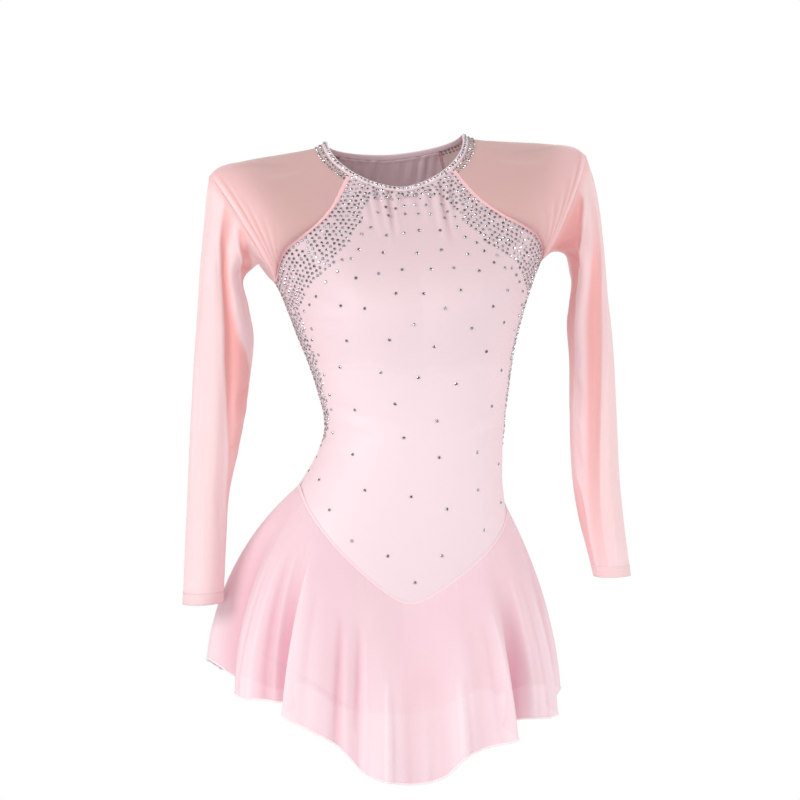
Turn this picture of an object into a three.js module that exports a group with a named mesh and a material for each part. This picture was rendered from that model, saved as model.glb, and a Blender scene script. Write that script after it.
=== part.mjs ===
// Figure skating dress: a stretch bodice and briefs, raglan sleeves of stretch mesh and a circular mesh skirt
// sewn into a pointed waist seam, standing in the filled-out form that it takes when it is worn.
//
// Units are millimetres. +Z is up, the front faces -Y and the wearer's left is +X. The origin is the middle of
// the neck opening, level with the sides of the neck, where the shoulders carry the dress.
//
// Every panel is a thin wall: a grid of points on its outer face, and the same grid moved inwards by the cloth's
// thickness. The body panels are first worked out on an upright figure, the same on both sides, and stand() then
// puts them into the wearer's stance.
import * as THREE from "three";

// ---------------------------------------------------------------- driving sizes

const WALL = 1.4; // thickness of every cloth panel
const SEAM_GAP = 0.4; // clear distance between two pieces that meet at a seam
const BAND_WALL = 2.0; // the neck band is folded double
const DEG = Math.PI / 180;
const QUARTER = 90 * DEG;

const ARMPIT_DOWN = 152; // the top of the side seam
const SIDE_SEAM_DOWN = 406; // where the waist seam crosses the side seam
const FRONT_POINT_DOWN = 520; // the tip of the front waist seam
const BACK_POINT_DOWN = 486; // the tip of the back waist seam
const WAIST_BEND = 1.6; // 1 would be a straight slope from the tip to the side
const POINT_ROUNDING = 0.04; // how soft the two tips are, as a share of a quarter turn
const LEG_SIDE_DOWN = 584; // where the leg openings cross the side seam

// Neck opening: the seam that joins the band, and the band's free edge.
const NECK_SEAM = { half: 84.5, front: 61.5, back: 56.5, frontDown: 64, sideDown: -1.5, backDown: 14.5 };
const NECK_EDGE = { half: 78.5, front: 57, back: 53, frontDown: 58.5, sideDown: -4, backDown: 8.5 };
const NECK_ASIDE = -5; // the worn neckline sits a little towards the wearer's right
const NECK_SQUARENESS = 0.8; // below 1 the opening's plan is fuller than an ellipse
const NECK_DIP = 0.83; // below 1 the front edge dips with a rounder bottom
const RAGLAN_ANGLE = 44 * DEG; // how far round the neck the front panel reaches

// The upright figure, an adult XS: half width, and depth forwards and backwards of the side seams, at each level.
const FIGURE = [
  { down: -15, half: 70, front: 38, back: 36 },
  { down: 4, half: 96, front: 42, back: 42 },
  { down: 12, half: 140, front: 44, back: 51 },
  { down: 20, half: 174, front: 45, back: 59 },
  { down: 39, half: 208, front: 52, back: 74 },
  { down: 61, half: 213, front: 67, back: 85 },
  { down: 87, half: 202, front: 84, back: 95 },
  { down: 115, half: 180, front: 98, back: 102 },
  { down: 152, half: 153, front: 111, back: 106 },
  { down: 190, half: 137, front: 117, back: 103 },
  { down: 217, half: 128, front: 115, back: 98 },
  { down: 252, half: 117, front: 105, back: 90 },
  { down: 286, half: 109.5, front: 95, back: 82 },
  { down: 321, half: 103.5, front: 89, back: 77 },
  { down: 355, half: 104.5, front: 90, back: 82 },
  { down: 390, half: 113, front: 95, back: 94 },
  { down: 430, half: 130, front: 101, back: 107 },
  { down: 470, half: 145, front: 104, back: 116 },
  { down: 520, half: 157, front: 104, back: 119 },
  { down: 570, half: 162, front: 99, back: 113 },
  { down: 620, half: 158, front: 90, back: 100 },
];
const ROUNDNESS = 2.3; // exponent of the figure's level sections: 2 is an ellipse
const CUPS = { apart: 58, down: 196, wide: 34, tall: 32, rise: 9, bridge: 0.45 };

// The wearer's stance: sideways shift, sideways tilt and turn of the level sections, in degrees.
const STANCE = [
  { down: -20, shift: 1.5, roll: 4.2, twist: 0 },
  { down: 40, shift: 2.5, roll: 4.2, twist: 0 },
  { down: 80, shift: 4, roll: 4.2, twist: 0 },
  { down: 120, shift: 8, roll: 4.2, twist: 0 },
  { down: 155, shift: 11, roll: 4.1, twist: 0 },
  { down: 217, shift: 12, roll: 3, twist: 0 },
  { down: 286, shift: 17.5, roll: 1.2, twist: 0 },
  { down: 321, shift: 19, roll: -0.5, twist: 0.5 },
  { down: 355, shift: 16, roll: -2.5, twist: 1 },
  { down: 390, shift: 8, roll: -4.2, twist: 2 },
  { down: 430, shift: 0, roll: -5, twist: 3.5 },
  { down: 480, shift: -8, roll: -5, twist: 5 },
  { down: 528, shift: -13, roll: -5, twist: 6 },
  { down: 575, shift: -17, roll: -5, twist: 6 },
  { down: 700, shift: -21, roll: -5, twist: 6 },
];

// The front raglan seam, from the armpit (along 0) to the neck seam (along 1).
const RAGLAN = [
  { along: 0, across: 153, down: 152 },
  { along: 0.14, across: 151, down: 136 },
  { along: 0.27, across: 143, down: 121 },
  { along: 0.4, across: 128.5, down: 110 },
  { along: 0.56, across: 106.5, down: 95 },
  { along: 0.71, across: 88.5, down: 78 },
  { along: 0.86, across: 76, down: 60 },
  { along: 1, across: 63.9, down: 39 },
];
// The top of the shoulder, from the neck seam to the corner where the sleeve drops.
const SHOULDER = [
  { along: 0, across: 84.5, down: -1.5 },
  { along: 0.06, across: 93, down: 3 },
  { along: 0.27, across: 126, down: 7.5 },
  { along: 0.62, across: 172, down: 12.5 },
  { along: 0.88, across: 205, down: 19.5 },
  { along: 1, across: 218.5, down: 28.5 },
];
const ARMHOLE = { front: 42, back: 46 }; // depth of the armhole loop before and behind its chord

// The empty sleeves as they hang: inner and outer edge and half depth at each section, from the armhole to the cuff.
const SLEEVE_RIGHT = [
  { inX: -155, inDown: 144, outX: -217.5, outDown: 70, deep: 43, mid: 0 },
  { inX: -166, inDown: 148, outX: -220, outDown: 95, deep: 42, mid: 0 },
  { inX: -177, inDown: 163, outX: -225, outDown: 138, deep: 41, mid: 0 },
  { inX: -171, inDown: 190, outX: -228, outDown: 184, deep: 41, mid: 0 },
  { inX: -165.5, inDown: 224, outX: -230.5, outDown: 222, deep: 41, mid: -1 },
  { inX: -168.5, inDown: 265, outX: -233.5, outDown: 266, deep: 40, mid: -2 },
  { inX: -176, inDown: 320, outX: -236.5, outDown: 321, deep: 38, mid: -4 },
  { inX: -184, inDown: 360, outX: -238.5, outDown: 362, deep: 36, mid: -6 },
  { inX: -193.5, inDown: 405, outX: -240.5, outDown: 407, deep: 33, mid: -11 },
  { inX: -197, inDown: 456, outX: -243, outDown: 458, deep: 31, mid: -18 },
  { inX: -200.5, inDown: 524, outX: -246, outDown: 526, deep: 29, mid: -26 },
];
const SLEEVE_LEFT = [
  { inX: 182, inDown: 126, outX: 230, outDown: 42, deep: 43, mid: 0 },
  { inX: 200.5, inDown: 131, outX: 235.5, outDown: 72, deep: 42, mid: 0 },
  { inX: 206.5, inDown: 158, outX: 242, outDown: 126, deep: 41, mid: 0 },
  { inX: 203, inDown: 187, outX: 246.5, outDown: 178, deep: 41, mid: 0 },
  { inX: 200, inDown: 212, outX: 249.5, outDown: 209, deep: 41, mid: -1 },
  { inX: 202.5, inDown: 255, outX: 252.5, outDown: 256, deep: 40, mid: -2 },
  { inX: 202, inDown: 321, outX: 255.5, outDown: 322, deep: 38, mid: -4 },
  { inX: 204.5, inDown: 385, outX: 258.5, outDown: 386, deep: 36, mid: -6 },
  { inX: 210.5, inDown: 430, outX: 262.5, outDown: 431, deep: 34, mid: -9 },
  { inX: 219.5, inDown: 468, outX: 266, outDown: 467, deep: 32, mid: -13 },
  { inX: 227.5, inDown: 502, outX: 269.5, outDown: 500, deep: 29, mid: -18 },
];
// Long creases in the sleeves. Top and bottom are the places round the sleeve that a crease drifts between: 0 at
// the underarm, 0.25 in front, 0.5 outside and 0.75 behind. From and to run from 0 at the armhole to 1 at the
// cuff, and depth is a share of the sleeve's half width.
const CREASES_RIGHT = [
  { top: 0.265, bottom: 0.09, wide: 0.05, from: -0.05, to: 0.95, depth: 0.22 },
  { top: 0.13, bottom: 0.05, wide: 0.04, from: 0.02, to: 0.6, depth: 0.14 },
  { top: 0.7, bottom: 0.78, wide: 0.06, from: 0.02, to: 0.8, depth: 0.18 },
  { top: 0.9, bottom: 0.86, wide: 0.05, from: 0.2, to: 1.02, depth: 0.12 },
];
const CREASES_LEFT = [
  { top: 0.36, bottom: 0.15, wide: 0.05, from: -0.05, to: 0.92, depth: 0.2 },
  { top: 0.05, bottom: 0.09, wide: 0.045, from: 0.12, to: 0.85, depth: 0.15 },
  { top: 0.66, bottom: 0.76, wide: 0.06, from: 0.0, to: 0.85, depth: 0.18 },
  { top: 0.88, bottom: 0.92, wide: 0.05, from: 0.25, to: 1.02, depth: 0.12 },
];

// The skirt's cloth length and how far its hem stands out from the waist seam, round the figure. Degrees run from
// the centre front towards the wearer's left.
const FLARE = [
  { at: -90, length: 224, out: 92 },
  { at: -82, length: 227, out: 88 },
  { at: -74, length: 236, out: 84 },
  { at: -66, length: 231, out: 81 },
  { at: -60, length: 221, out: 79 },
  { at: -52, length: 209, out: 74 },
  { at: -46, length: 209, out: 71 },
  { at: -40, length: 210, out: 67 },
  { at: -30, length: 209, out: 62 },
  { at: -23, length: 210, out: 59 },
  { at: -18, length: 216, out: 57 },
  { at: -12, length: 213, out: 55 },
  { at: 0, length: 196, out: 52 },
  { at: 7, length: 196, out: 52 },
  { at: 12, length: 189, out: 53 },
  { at: 20, length: 191, out: 54 },
  { at: 29, length: 201, out: 55 },
  { at: 36, length: 195, out: 54 },
  { at: 44, length: 200, out: 54 },
  { at: 56, length: 219, out: 52 },
  { at: 75, length: 225, out: 56 },
  { at: 90, length: 222, out: 57 },
  { at: 135, length: 231, out: 72 },
  { at: 180, length: 214, out: 80 },
  { at: 225, length: 233, out: 90 },
  { at: 248, length: 232, out: 94 },
];
// Ridges (above 0) and valleys (below 0) of the skirt's hem. Lean moves a fold sideways, towards the wearer's left,
// so that a ridge folds over the valley beside it.
const FOLDS = [
  { at: -90, out: 8, lean: 0 },
  { at: -80, out: -13, lean: 5 },
  { at: -70, out: 7, lean: 5 },
  { at: -62, out: -3, lean: 2 },
  { at: -50, out: -23, lean: 5 },
  { at: -42, out: 10, lean: -13 },
  { at: -32, out: -1, lean: 0 },
  { at: -21, out: -4, lean: 0 },
  { at: -11, out: 6, lean: 0 },
  { at: 2, out: -4, lean: 0 },
  { at: 13, out: 6, lean: 0 },
  { at: 20, out: -2, lean: 1 },
  { at: 29, out: 12, lean: 5 },
  { at: 39, out: -27, lean: -9 },
  { at: 50, out: 3, lean: -3 },
  { at: 61, out: 9, lean: -4 },
  { at: 72, out: -11, lean: 0 },
  { at: 83, out: 7, lean: 0 },
  { at: 97, out: -15, lean: 3 },
  { at: 112, out: 12, lean: 4 },
  { at: 126, out: -17, lean: 0 },
  { at: 141, out: 13, lean: -5 },
  { at: 155, out: -18, lean: 0 },
  { at: 170, out: 12, lean: 5 },
  { at: 184, out: -17, lean: 0 },
  { at: 199, out: 13, lean: -4 },
  { at: 214, out: -18, lean: 0 },
  { at: 229, out: 12, lean: 5 },
  { at: 243, out: -16, lean: 0 },
  { at: 257, out: 6, lean: 0 },
];
const FLARE_BEND = 1.8; // the skirt springs out at the seam and then hangs
const FOLD_BEND = 1.25; // the folds deepen towards the hem

const CROTCH_FLATNESS = 1.6; // how much flatter than the figure a section of the briefs is at the crotch
// Briefs: the centre line and the leg edge of each panel, from the leg's side point (along 0) to the crotch seam.
// Out is the distance forwards on the front panel and backwards on the back panel.
const BRIEFS_FRONT = {
  middle: [
    { along: 0, out: 104, down: 520 },
    { along: 0.25, out: 103, down: 556 },
    { along: 0.45, out: 97, down: 586 },
    { along: 0.65, out: 82, down: 618 },
    { along: 0.84, out: 50, down: 646 },
    { along: 1, out: 0, down: 660 },
  ],
  leg: [
    { along: 0, across: 161, out: 0, down: 584 },
    { along: 0.25, across: 134, out: 46, down: 596 },
    { along: 0.5, across: 96, out: 66, down: 614 },
    { along: 0.75, across: 57, out: 50, down: 638 },
    { along: 1, across: 33, out: 0, down: 657 },
  ],
};
const BRIEFS_BACK = {
  middle: [
    { along: 0, out: 117, down: 486 },
    { along: 0.25, out: 118, down: 536 },
    { along: 0.45, out: 112, down: 577 },
    { along: 0.65, out: 96, down: 616 },
    { along: 0.84, out: 58, down: 646 },
    { along: 1, out: 0, down: 660 },
  ],
  leg: [
    { along: 0, across: 161, out: 0, down: 584 },
    { along: 0.25, across: 142, out: 48, down: 600 },
    { along: 0.5, across: 108, out: 72, down: 621 },
    { along: 0.75, across: 64, out: 54, down: 643 },
    { along: 1, across: 33, out: 0, down: 657 },
  ],
};

// How finely each piece is divided.
const COLUMNS = { torso: 20, sleeve: 24, skirt: 60, band: 72 };
const ROWS = { side: 11, raglan: 8, tube: 19, skirt: 7, briefsSide: 4, briefsLeg: 6 };

// ---------------------------------------------------------------- curves from tables

// A smooth curve through one named column of a table, read against another named column. With a period the table
// is a closed round.
function curve(rows, key, name, period = 0) {
  const round = period
    ? [-1, 0, 1].flatMap((turn) => rows.map((r) => ({ at: r[key] + turn * period, value: r[name] })))
    : rows.map((r) => ({ at: r[key], value: r[name] }));
  const last = round.length - 1;
  const slope = round.map((_, i) => {
    const before = round[Math.max(i - 1, 0)];
    const after = round[Math.min(i + 1, last)];
    return (after.value - before.value) / (after.at - before.at);
  });
  return (at) => {
    const place = THREE.MathUtils.clamp(at, round[0].at, round[last].at);
    let i = 0;
    while (i < last - 1 && place > round[i + 1].at) i += 1;
    const width = round[i + 1].at - round[i].at;
    const s = (place - round[i].at) / width;
    const rise = s * s * (3 - 2 * s);
    return (
      round[i].value * (1 - rise) +
      round[i + 1].value * rise +
      width * s * (1 - s) * (slope[i] * (1 - s) - slope[i + 1] * s)
    );
  };
}

// All the columns of a table as curves, under their own names.
function curves(rows, key, period = 0) {
  const names = Object.keys(rows[0]).filter((name) => name !== key);
  return Object.fromEntries(names.map((name) => [name, curve(rows, key, name, period)]));
}

const mix = THREE.MathUtils.lerp;
const ease = (s) => s * s * (3 - 2 * s);
const bell = (distance, width) => Math.exp(-((distance / width) ** 2));
const steps = (count) => Array.from({ length: count + 1 }, (_, i) => i / count);

// ---------------------------------------------------------------- the figure and the stance

const figure = curves(FIGURE, "down");
const stance = curves(STANCE, "down");
const raglan = curves(RAGLAN, "along");
const shoulder = curves(SHOULDER, "along");
const SECTION_POWER = 2 / ROUNDNESS;

// How far the cups stand forward of the figure: two soft bells, with cloth bridging the dip between them.
function cupRise(x, down) {
  const level = bell(down - CUPS.down, CUPS.tall * Math.SQRT2);
  const sides = bell(Math.abs(x) - CUPS.apart, CUPS.wide * Math.SQRT2);
  const between = CUPS.bridge * bell(x, CUPS.apart);
  return CUPS.rise * level * Math.min(1, sides + between);
}

// A point on the upright figure. The angle is 0 at the centre front and a quarter turn at the wearer's left side.
function figurePoint(angle, down) {
  const s = Math.sin(angle);
  const c = Math.cos(angle);
  const depth = c > 0 ? figure.front(down) : figure.back(down);
  const x = figure.half(down) * Math.sign(s) * Math.abs(s) ** SECTION_POWER;
  const y = -depth * Math.sign(c) * Math.abs(c) ** SECTION_POWER;
  return new THREE.Vector3(x, c > 0 ? y - cupRise(x, down) * c : y, -down);
}

// The angle at which the figure's level section is this far across.
const angleAcross = (across, down) =>
  Math.asin(Math.min(1, across / figure.half(down)) ** (ROUNDNESS / 2));

// Puts a point of the upright figure into the wearer's stance.
function stand(point) {
  const down = -point.z;
  const twist = stance.twist(down) * DEG;
  const roll = stance.roll(down) * DEG;
  const x = point.x * Math.cos(twist) - point.y * Math.sin(twist);
  const y = point.x * Math.sin(twist) + point.y * Math.cos(twist);
  return new THREE.Vector3(stance.shift(down) + x * Math.cos(roll), y, point.z + x * Math.sin(roll));
}

const standing = (angle, down) => stand(figurePoint(angle, down));

// The outward direction of the standing figure.
function outward(angle, down) {
  const turn = 0.01;
  const drop = 1;
  const around = standing(angle + turn, down).sub(standing(angle - turn, down));
  const up = standing(angle, down - drop).sub(standing(angle, down + drop));
  return around.cross(up).normalize();
}

// The waist seam's level round the figure: a soft point in front, a shallower one behind.
function waistDown(angle) {
  const forwards = Math.cos(angle) > 0;
  const tip = forwards ? FRONT_POINT_DOWN : BACK_POINT_DOWN;
  const turn = Math.abs(Math.atan2(Math.sin(angle), Math.cos(angle)));
  const share = (forwards ? turn : Math.PI - turn) / QUARTER;
  return tip + (SIDE_SEAM_DOWN - tip) * waistShape(share);
}

function waistShape(share) {
  const r = POINT_ROUNDING;
  return 1 - (1 - (Math.hypot(share, r) - r) / (Math.hypot(1, r) - r)) ** WAIST_BEND;
}

// The waist seam is straight between two columns of the body panels, so every panel along it shares one line.
function alongWaist(angle, measure) {
  const width = (2 * QUARTER) / COLUMNS.torso;
  const column = Math.floor(angle / width + 1e-6);
  return measure(column * width).lerp(measure((column + 1) * width), angle / width - column);
}

const waistPoint = (angle) => alongWaist(angle, (at) => standing(at, waistDown(at)));
const waistFacing = (angle) => alongWaist(angle, (at) => outward(at, waistDown(at))).normalize();

// A point of the upright neck opening: the band's seam or its free edge.
function neckPoint(line, angle) {
  const c = Math.cos(angle);
  const full = Math.abs(c) ** NECK_SQUARENESS;
  const dip = (1 - Math.abs(c)) ** NECK_DIP;
  const y = c > 0 ? -line.front * full : line.back * full;
  const down = mix(c > 0 ? line.frontDown : line.backDown, line.sideDown, dip);
  return new THREE.Vector3(line.half * Math.sin(angle) + NECK_ASIDE, y, -down);
}

const neckSeam = (angle) => stand(neckPoint(NECK_SEAM, angle));
const neckEdge = (angle) => stand(neckPoint(NECK_EDGE, angle));

function bandFacing(angle) {
  const turn = 0.01;
  const around = neckSeam(angle + turn).sub(neckSeam(angle - turn));
  return around.cross(neckEdge(angle).sub(neckSeam(angle))).normalize();
}

// Columns of a body panel, from -1 at its right-hand edge to 1.
const across = steps(COLUMNS.torso).map((s) => 2 * s - 1);

// ---------------------------------------------------------------- cloth walls

// Directions square to a grid of points. Rows from shutRow on are closed rounds, whose first and last point agree.
function gridNormals(grid, facing, shutRow = Infinity) {
  const lastRow = grid.length - 1;
  const lastColumn = grid[0].length - 1;
  return grid.map((row, j) =>
    row.map((_, i) => {
      const shut = j >= shutRow && (i === 0 || i === lastColumn);
      const left = shut ? row[lastColumn - 1] : row[Math.max(i - 1, 0)];
      const right = shut ? row[1] : row[Math.min(i + 1, lastColumn)];
      const below = grid[Math.max(j - 1, 0)][i];
      const above = grid[Math.min(j + 1, lastRow)][i];
      const around = right.clone().sub(left);
      return around.cross(above.clone().sub(below)).normalize().multiplyScalar(facing);
    }),
  );
}

// The two ends of a closed round face the same way.
function shutNormals(normals, shutRow) {
  normals.slice(shutRow).forEach((row) => {
    const end = row.length - 1;
    row[0] = row[0].clone().add(row[end]).normalize();
    row[end] = row[0];
  });
}

// Moves the rim of a grid inwards along its own surface, which leaves half a seam's gap.
function inset(grid, edges, distance = SEAM_GAP / 2) {
  const lastRow = grid.length - 1;
  const lastColumn = grid[0].length - 1;
  const moved = grid.map((row) => row.map((point) => point.clone()));
  const pull = (j, i, inJ, inI, before, after) => {
    const along = after.clone().sub(before).normalize();
    const inwards = grid[inJ][inI].clone().sub(grid[j][i]);
    inwards.addScaledVector(along, -inwards.dot(along)).normalize();
    moved[j][i].addScaledVector(inwards, distance);
  };
  for (let j = 0; j <= lastRow; j += 1) {
    const below = Math.max(j - 1, 0);
    const above = Math.min(j + 1, lastRow);
    if (edges.sides) {
      pull(j, 0, j, 1, grid[below][0], grid[above][0]);
      pull(j, lastColumn, j, lastColumn - 1, grid[below][lastColumn], grid[above][lastColumn]);
    }
  }
  for (let i = 0; i <= lastColumn; i += 1) {
    const left = Math.max(i - 1, 0);
    const right = Math.min(i + 1, lastColumn);
    if (edges.first) pull(0, i, 1, i, grid[0][left], grid[0][right]);
    if (edges.last) pull(lastRow, i, lastRow - 1, i, grid[lastRow][left], grid[lastRow][right]);
  }
  return moved;
}

// One closed solid: the grid, the grid moved inwards, and the rims that join them.
function clothWall(grid, normals, thickness = WALL, shutRow = Infinity) {
  const rows = grid.length;
  const columns = grid[0].length;
  const inner = grid.map((row, j) =>
    row.map((point, i) => point.clone().addScaledVector(normals[j][i], -thickness)),
  );
  const positions = [grid, inner].flatMap((side) => side.flatMap((row) => row.flatMap((p) => [p.x, p.y, p.z])));
  const outerAt = (j, i) => j * columns + i;
  const innerAt = (j, i) => rows * columns + outerAt(j, i);
  const triangles = [];
  const quad = (a, b, c, d) => triangles.push(a, b, c, a, c, d);
  for (let j = 0; j < rows - 1; j += 1) {
    for (let i = 0; i < columns - 1; i += 1) {
      // Both faces of the wall are split along the shorter diagonal.
      const rising = grid[j][i].distanceTo(grid[j + 1][i + 1]);
      const falling = grid[j][i + 1].distanceTo(grid[j + 1][i]);
      const corners = [[j, i], [j, i + 1], [j + 1, i + 1], [j + 1, i]];
      const [a, b, c, d] = rising < falling ? corners : [...corners.slice(1), corners[0]];
      quad(outerAt(...a), outerAt(...b), outerAt(...c), outerAt(...d));
      quad(innerAt(...a), innerAt(...d), innerAt(...c), innerAt(...b));
    }
    if (j < shutRow) {
      const end = columns - 1;
      quad(outerAt(j, 0), outerAt(j + 1, 0), innerAt(j + 1, 0), innerAt(j, 0));
      quad(outerAt(j + 1, end), outerAt(j, end), innerAt(j, end), innerAt(j + 1, end));
    }
  }
  for (let i = 0; i < columns - 1; i += 1) {
    const top = rows - 1;
    quad(outerAt(0, i + 1), outerAt(0, i), innerAt(0, i), innerAt(0, i + 1));
    quad(outerAt(top, i), outerAt(top, i + 1), innerAt(top, i + 1), innerAt(top, i));
  }
  return facingOut(positions, triangles);
}

// A geometry whose faces point out of the solid.
function facingOut(positions, triangles) {
  const corner = (k) => new THREE.Vector3().fromArray(positions, 3 * triangles[k]);
  let volume = 0;
  for (let k = 0; k < triangles.length; k += 3) volume += corner(k).dot(corner(k + 1).cross(corner(k + 2)));
  if (volume < 0) {
    for (let k = 0; k < triangles.length; k += 3) {
      [triangles[k + 1], triangles[k + 2]] = [triangles[k + 2], triangles[k + 1]];
    }
  }
  const geometry = new THREE.BufferGeometry();
  geometry.setAttribute("position", new THREE.Float32BufferAttribute(positions, 3));
  geometry.setIndex(triangles);
  return geometry;
}

// ---------------------------------------------------------------- materials

const cloth = (color, roughness) => new THREE.MeshStandardMaterial({ color, roughness, metalness: 0 });
const JERSEY = cloth(0xf7dfe0, 0.5);
const SLEEVE_MESH = cloth(0xf6bcbc, 0.7);
const SKIRT_MESH = cloth(0xf4c3d0, 0.7);
const BRIEFS_JERSEY = cloth(0xf3c6cf, 0.55);

const dress = new THREE.Group();
dress.name = "figure_skating_dress";

function add(name, geometry, material) {
  const mesh = new THREE.Mesh(geometry, material);
  mesh.name = name;
  dress.add(mesh);
  return mesh;
}

// ---------------------------------------------------------------- bodice

// The back raglan seam rises higher at the neck than the front one.
const neckSeamDown = (angle) => -neckPoint(NECK_SEAM, angle).z;
const BACK_LIFT = RAGLAN[RAGLAN.length - 1].down - neckSeamDown(Math.PI - RAGLAN_ANGLE);

function raglanSpot(along, backwards) {
  const down = raglan.down(along) - (backwards ? BACK_LIFT * along * along : 0);
  const angle = along === 0 ? QUARTER : angleAcross(raglan.across(along), down);
  return { angle: backwards ? Math.PI - angle : angle, down };
}

// Panel edges above the waist seam, upwards: the side seam, then the raglan seam.
function bodiceEdge(backwards) {
  return [
    ...steps(ROWS.side).map((s) => ({ angle: QUARTER, down: mix(SIDE_SEAM_DOWN, ARMPIT_DOWN, s), near: 0 })),
    ...steps(ROWS.raglan).slice(1).map((s) => ({ ...raglanSpot(s, backwards), near: ease(s) })),
  ];
}

// Which way the cloth faces along that edge, on the wearer's left or right.
const edgeFacing = (spot, side) => outward(side * spot.angle, spot.down);

// Front or back panel, upwards from the waist seam to the neck seam. Near is how far a row has left the figure
// for the neck seam.
function bodiceGrid(backwards) {
  const edge = bodiceEdge(backwards);
  const lastRow = edge.length - 1;
  const centre = backwards ? Math.PI : 0;
  const tip = backwards ? BACK_POINT_DOWN : FRONT_POINT_DOWN;
  const dip = backwards ? NECK_SEAM.backDown : NECK_SEAM.frontDown;
  const onFigure = (u, j) => {
    const v = j / lastRow;
    const shape = mix(waistShape(Math.abs(u)), u * u, ease(v));
    const middle = mix(tip, dip, v);
    return figurePoint(centre + u * Math.abs(edge[j].angle - centre), mix(middle, edge[j].down, shape));
  };
  return edge.map((spot, j) =>
    across.map((u) => {
      const reach = neckPoint(NECK_SEAM, centre + u * RAGLAN_ANGLE).sub(onFigure(u, lastRow));
      return stand(onFigure(u, j).addScaledVector(reach, spot.near));
    }),
  );
}

function bodice(backwards) {
  const grid = bodiceGrid(backwards);
  const normals = gridNormals(grid, 1);
  const centre = backwards ? Math.PI : 0;
  const lastColumn = COLUMNS.torso;
  bodiceEdge(backwards).forEach((spot, j) => {
    normals[j][0] = edgeFacing(spot, backwards ? 1 : -1);
    normals[j][lastColumn] = edgeFacing(spot, backwards ? -1 : 1);
  });
  across.forEach((u, i) => {
    normals[0][i] = waistFacing(centre + u * QUARTER);
    normals[grid.length - 1][i] = bandFacing(centre + u * RAGLAN_ANGLE);
  });
  return clothWall(inset(grid, { sides: true, first: true, last: true }), normals);
}

add("bodice_front", bodice(false), JERSEY);
add("bodice_back", bodice(true), JERSEY);

// ---------------------------------------------------------------- neck band

function neckBand() {
  const turns = steps(COLUMNS.band).slice(0, -1).map((s) => s * 2 * Math.PI);
  const rise = SEAM_GAP / 2;
  const corners = turns.map((angle) => {
    const seam = neckSeam(angle);
    const edge = neckEdge(angle);
    const normal = bandFacing(angle);
    seam.addScaledVector(edge.clone().sub(seam).normalize(), rise);
    const outer = [seam, edge];
    return [...outer, ...[edge, seam].map((p) => p.clone().addScaledVector(normal, -BAND_WALL))];
  });
  const positions = corners.flatMap((ring) => ring.flatMap((p) => [p.x, p.y, p.z]));
  const triangles = [];
  corners.forEach((_, k) => {
    const next = (k + 1) % corners.length;
    for (let side = 0; side < 4; side += 1) {
      const other = (side + 1) % 4;
      const [a, b, c, d] = [4 * k + side, 4 * next + side, 4 * next + other, 4 * k + other];
      triangles.push(a, b, c, a, c, d);
    }
  });
  return facingOut(positions, triangles);
}

add("neck_band", neckBand(), JERSEY);

// ---------------------------------------------------------------- sleeves

// The figure's mirror image for the wearer's right.
const sided = (point, side) => stand(new THREE.Vector3(point.x * side, point.y, point.z));

const neckCorner = (backwards) => (backwards ? Math.PI - RAGLAN_ANGLE : RAGLAN_ANGLE);

// A point of the raglan seam, as on the edges of the body panels.
function raglanPoint(side, along, backwards) {
  const spot = raglanSpot(along, backwards);
  const end = raglanSpot(1, backwards);
  const corner = neckPoint(NECK_SEAM, side * neckCorner(backwards));
  const reach = corner.sub(figurePoint(side * end.angle, end.down));
  return stand(figurePoint(side * spot.angle, spot.down).addScaledVector(reach, ease(along)));
}

// The armhole loop: from the armpit, round the front, over the shoulder corner and down the back.
function armhole(side, around) {
  const armpit = sided(figurePoint(QUARTER, ARMPIT_DOWN), side);
  const corner = sided(new THREE.Vector3(shoulder.across(1), 0, -shoulder.down(1)), side);
  const turn = 2 * Math.PI * around;
  const depth = Math.sin(turn) > 0 ? ARMHOLE.front : ARMHOLE.back;
  const point = armpit.clone().add(corner).multiplyScalar(0.5);
  point.addScaledVector(armpit.sub(corner), Math.cos(turn) / 2);
  point.y -= depth * Math.sin(turn);
  return point;
}

// The yoke over the shoulder: a surface stretched between the neck seam, the armhole, the two raglan seams and
// the top of the shoulder. Out is 0 at the neck and 1 at the armhole.
function yokePoint(side, out, around) {
  const backwards = around > 0.5;
  const share = backwards ? 2 - 2 * around : 2 * around;
  const neck = (t) => neckSeam(side * mix(RAGLAN_ANGLE, Math.PI - RAGLAN_ANGLE, t));
  const seamEnd = backwards ? 1 : 0;
  const along = ease(out);
  const over = ease(share);
  const aside = side * NECK_ASIDE * (1 - out);
  const top = sided(new THREE.Vector3(shoulder.across(out) + aside, 0, -shoulder.down(out)), side);
  const between = (a, b, s) => a.clone().lerp(b, s);
  const lengthwise = between(neck(around), armhole(side, around), along);
  const crosswise = between(raglanPoint(side, 1 - out, backwards), top, over);
  const corners = between(
    between(neck(seamEnd), neck(0.5), over),
    between(armhole(side, 0), armhole(side, 0.5), over),
    along,
  );
  return lengthwise.add(crosswise).sub(corners);
}

// How much the long creases draw the sleeve in at one spot.
function creaseDepth(creases, around, share) {
  return creases.reduce((sum, crease) => {
    const middle = (crease.from + crease.to) / 2;
    const reach = (crease.to - crease.from) / 2;
    const within = Math.max(0, 1 - ((share - middle) / reach) ** 2);
    const aside = Math.abs(around - mix(crease.top, crease.bottom, share * share));
    return sum + crease.depth * bell(Math.min(aside, 1 - aside), crease.wide) * within;
  }, 0);
}

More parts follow.
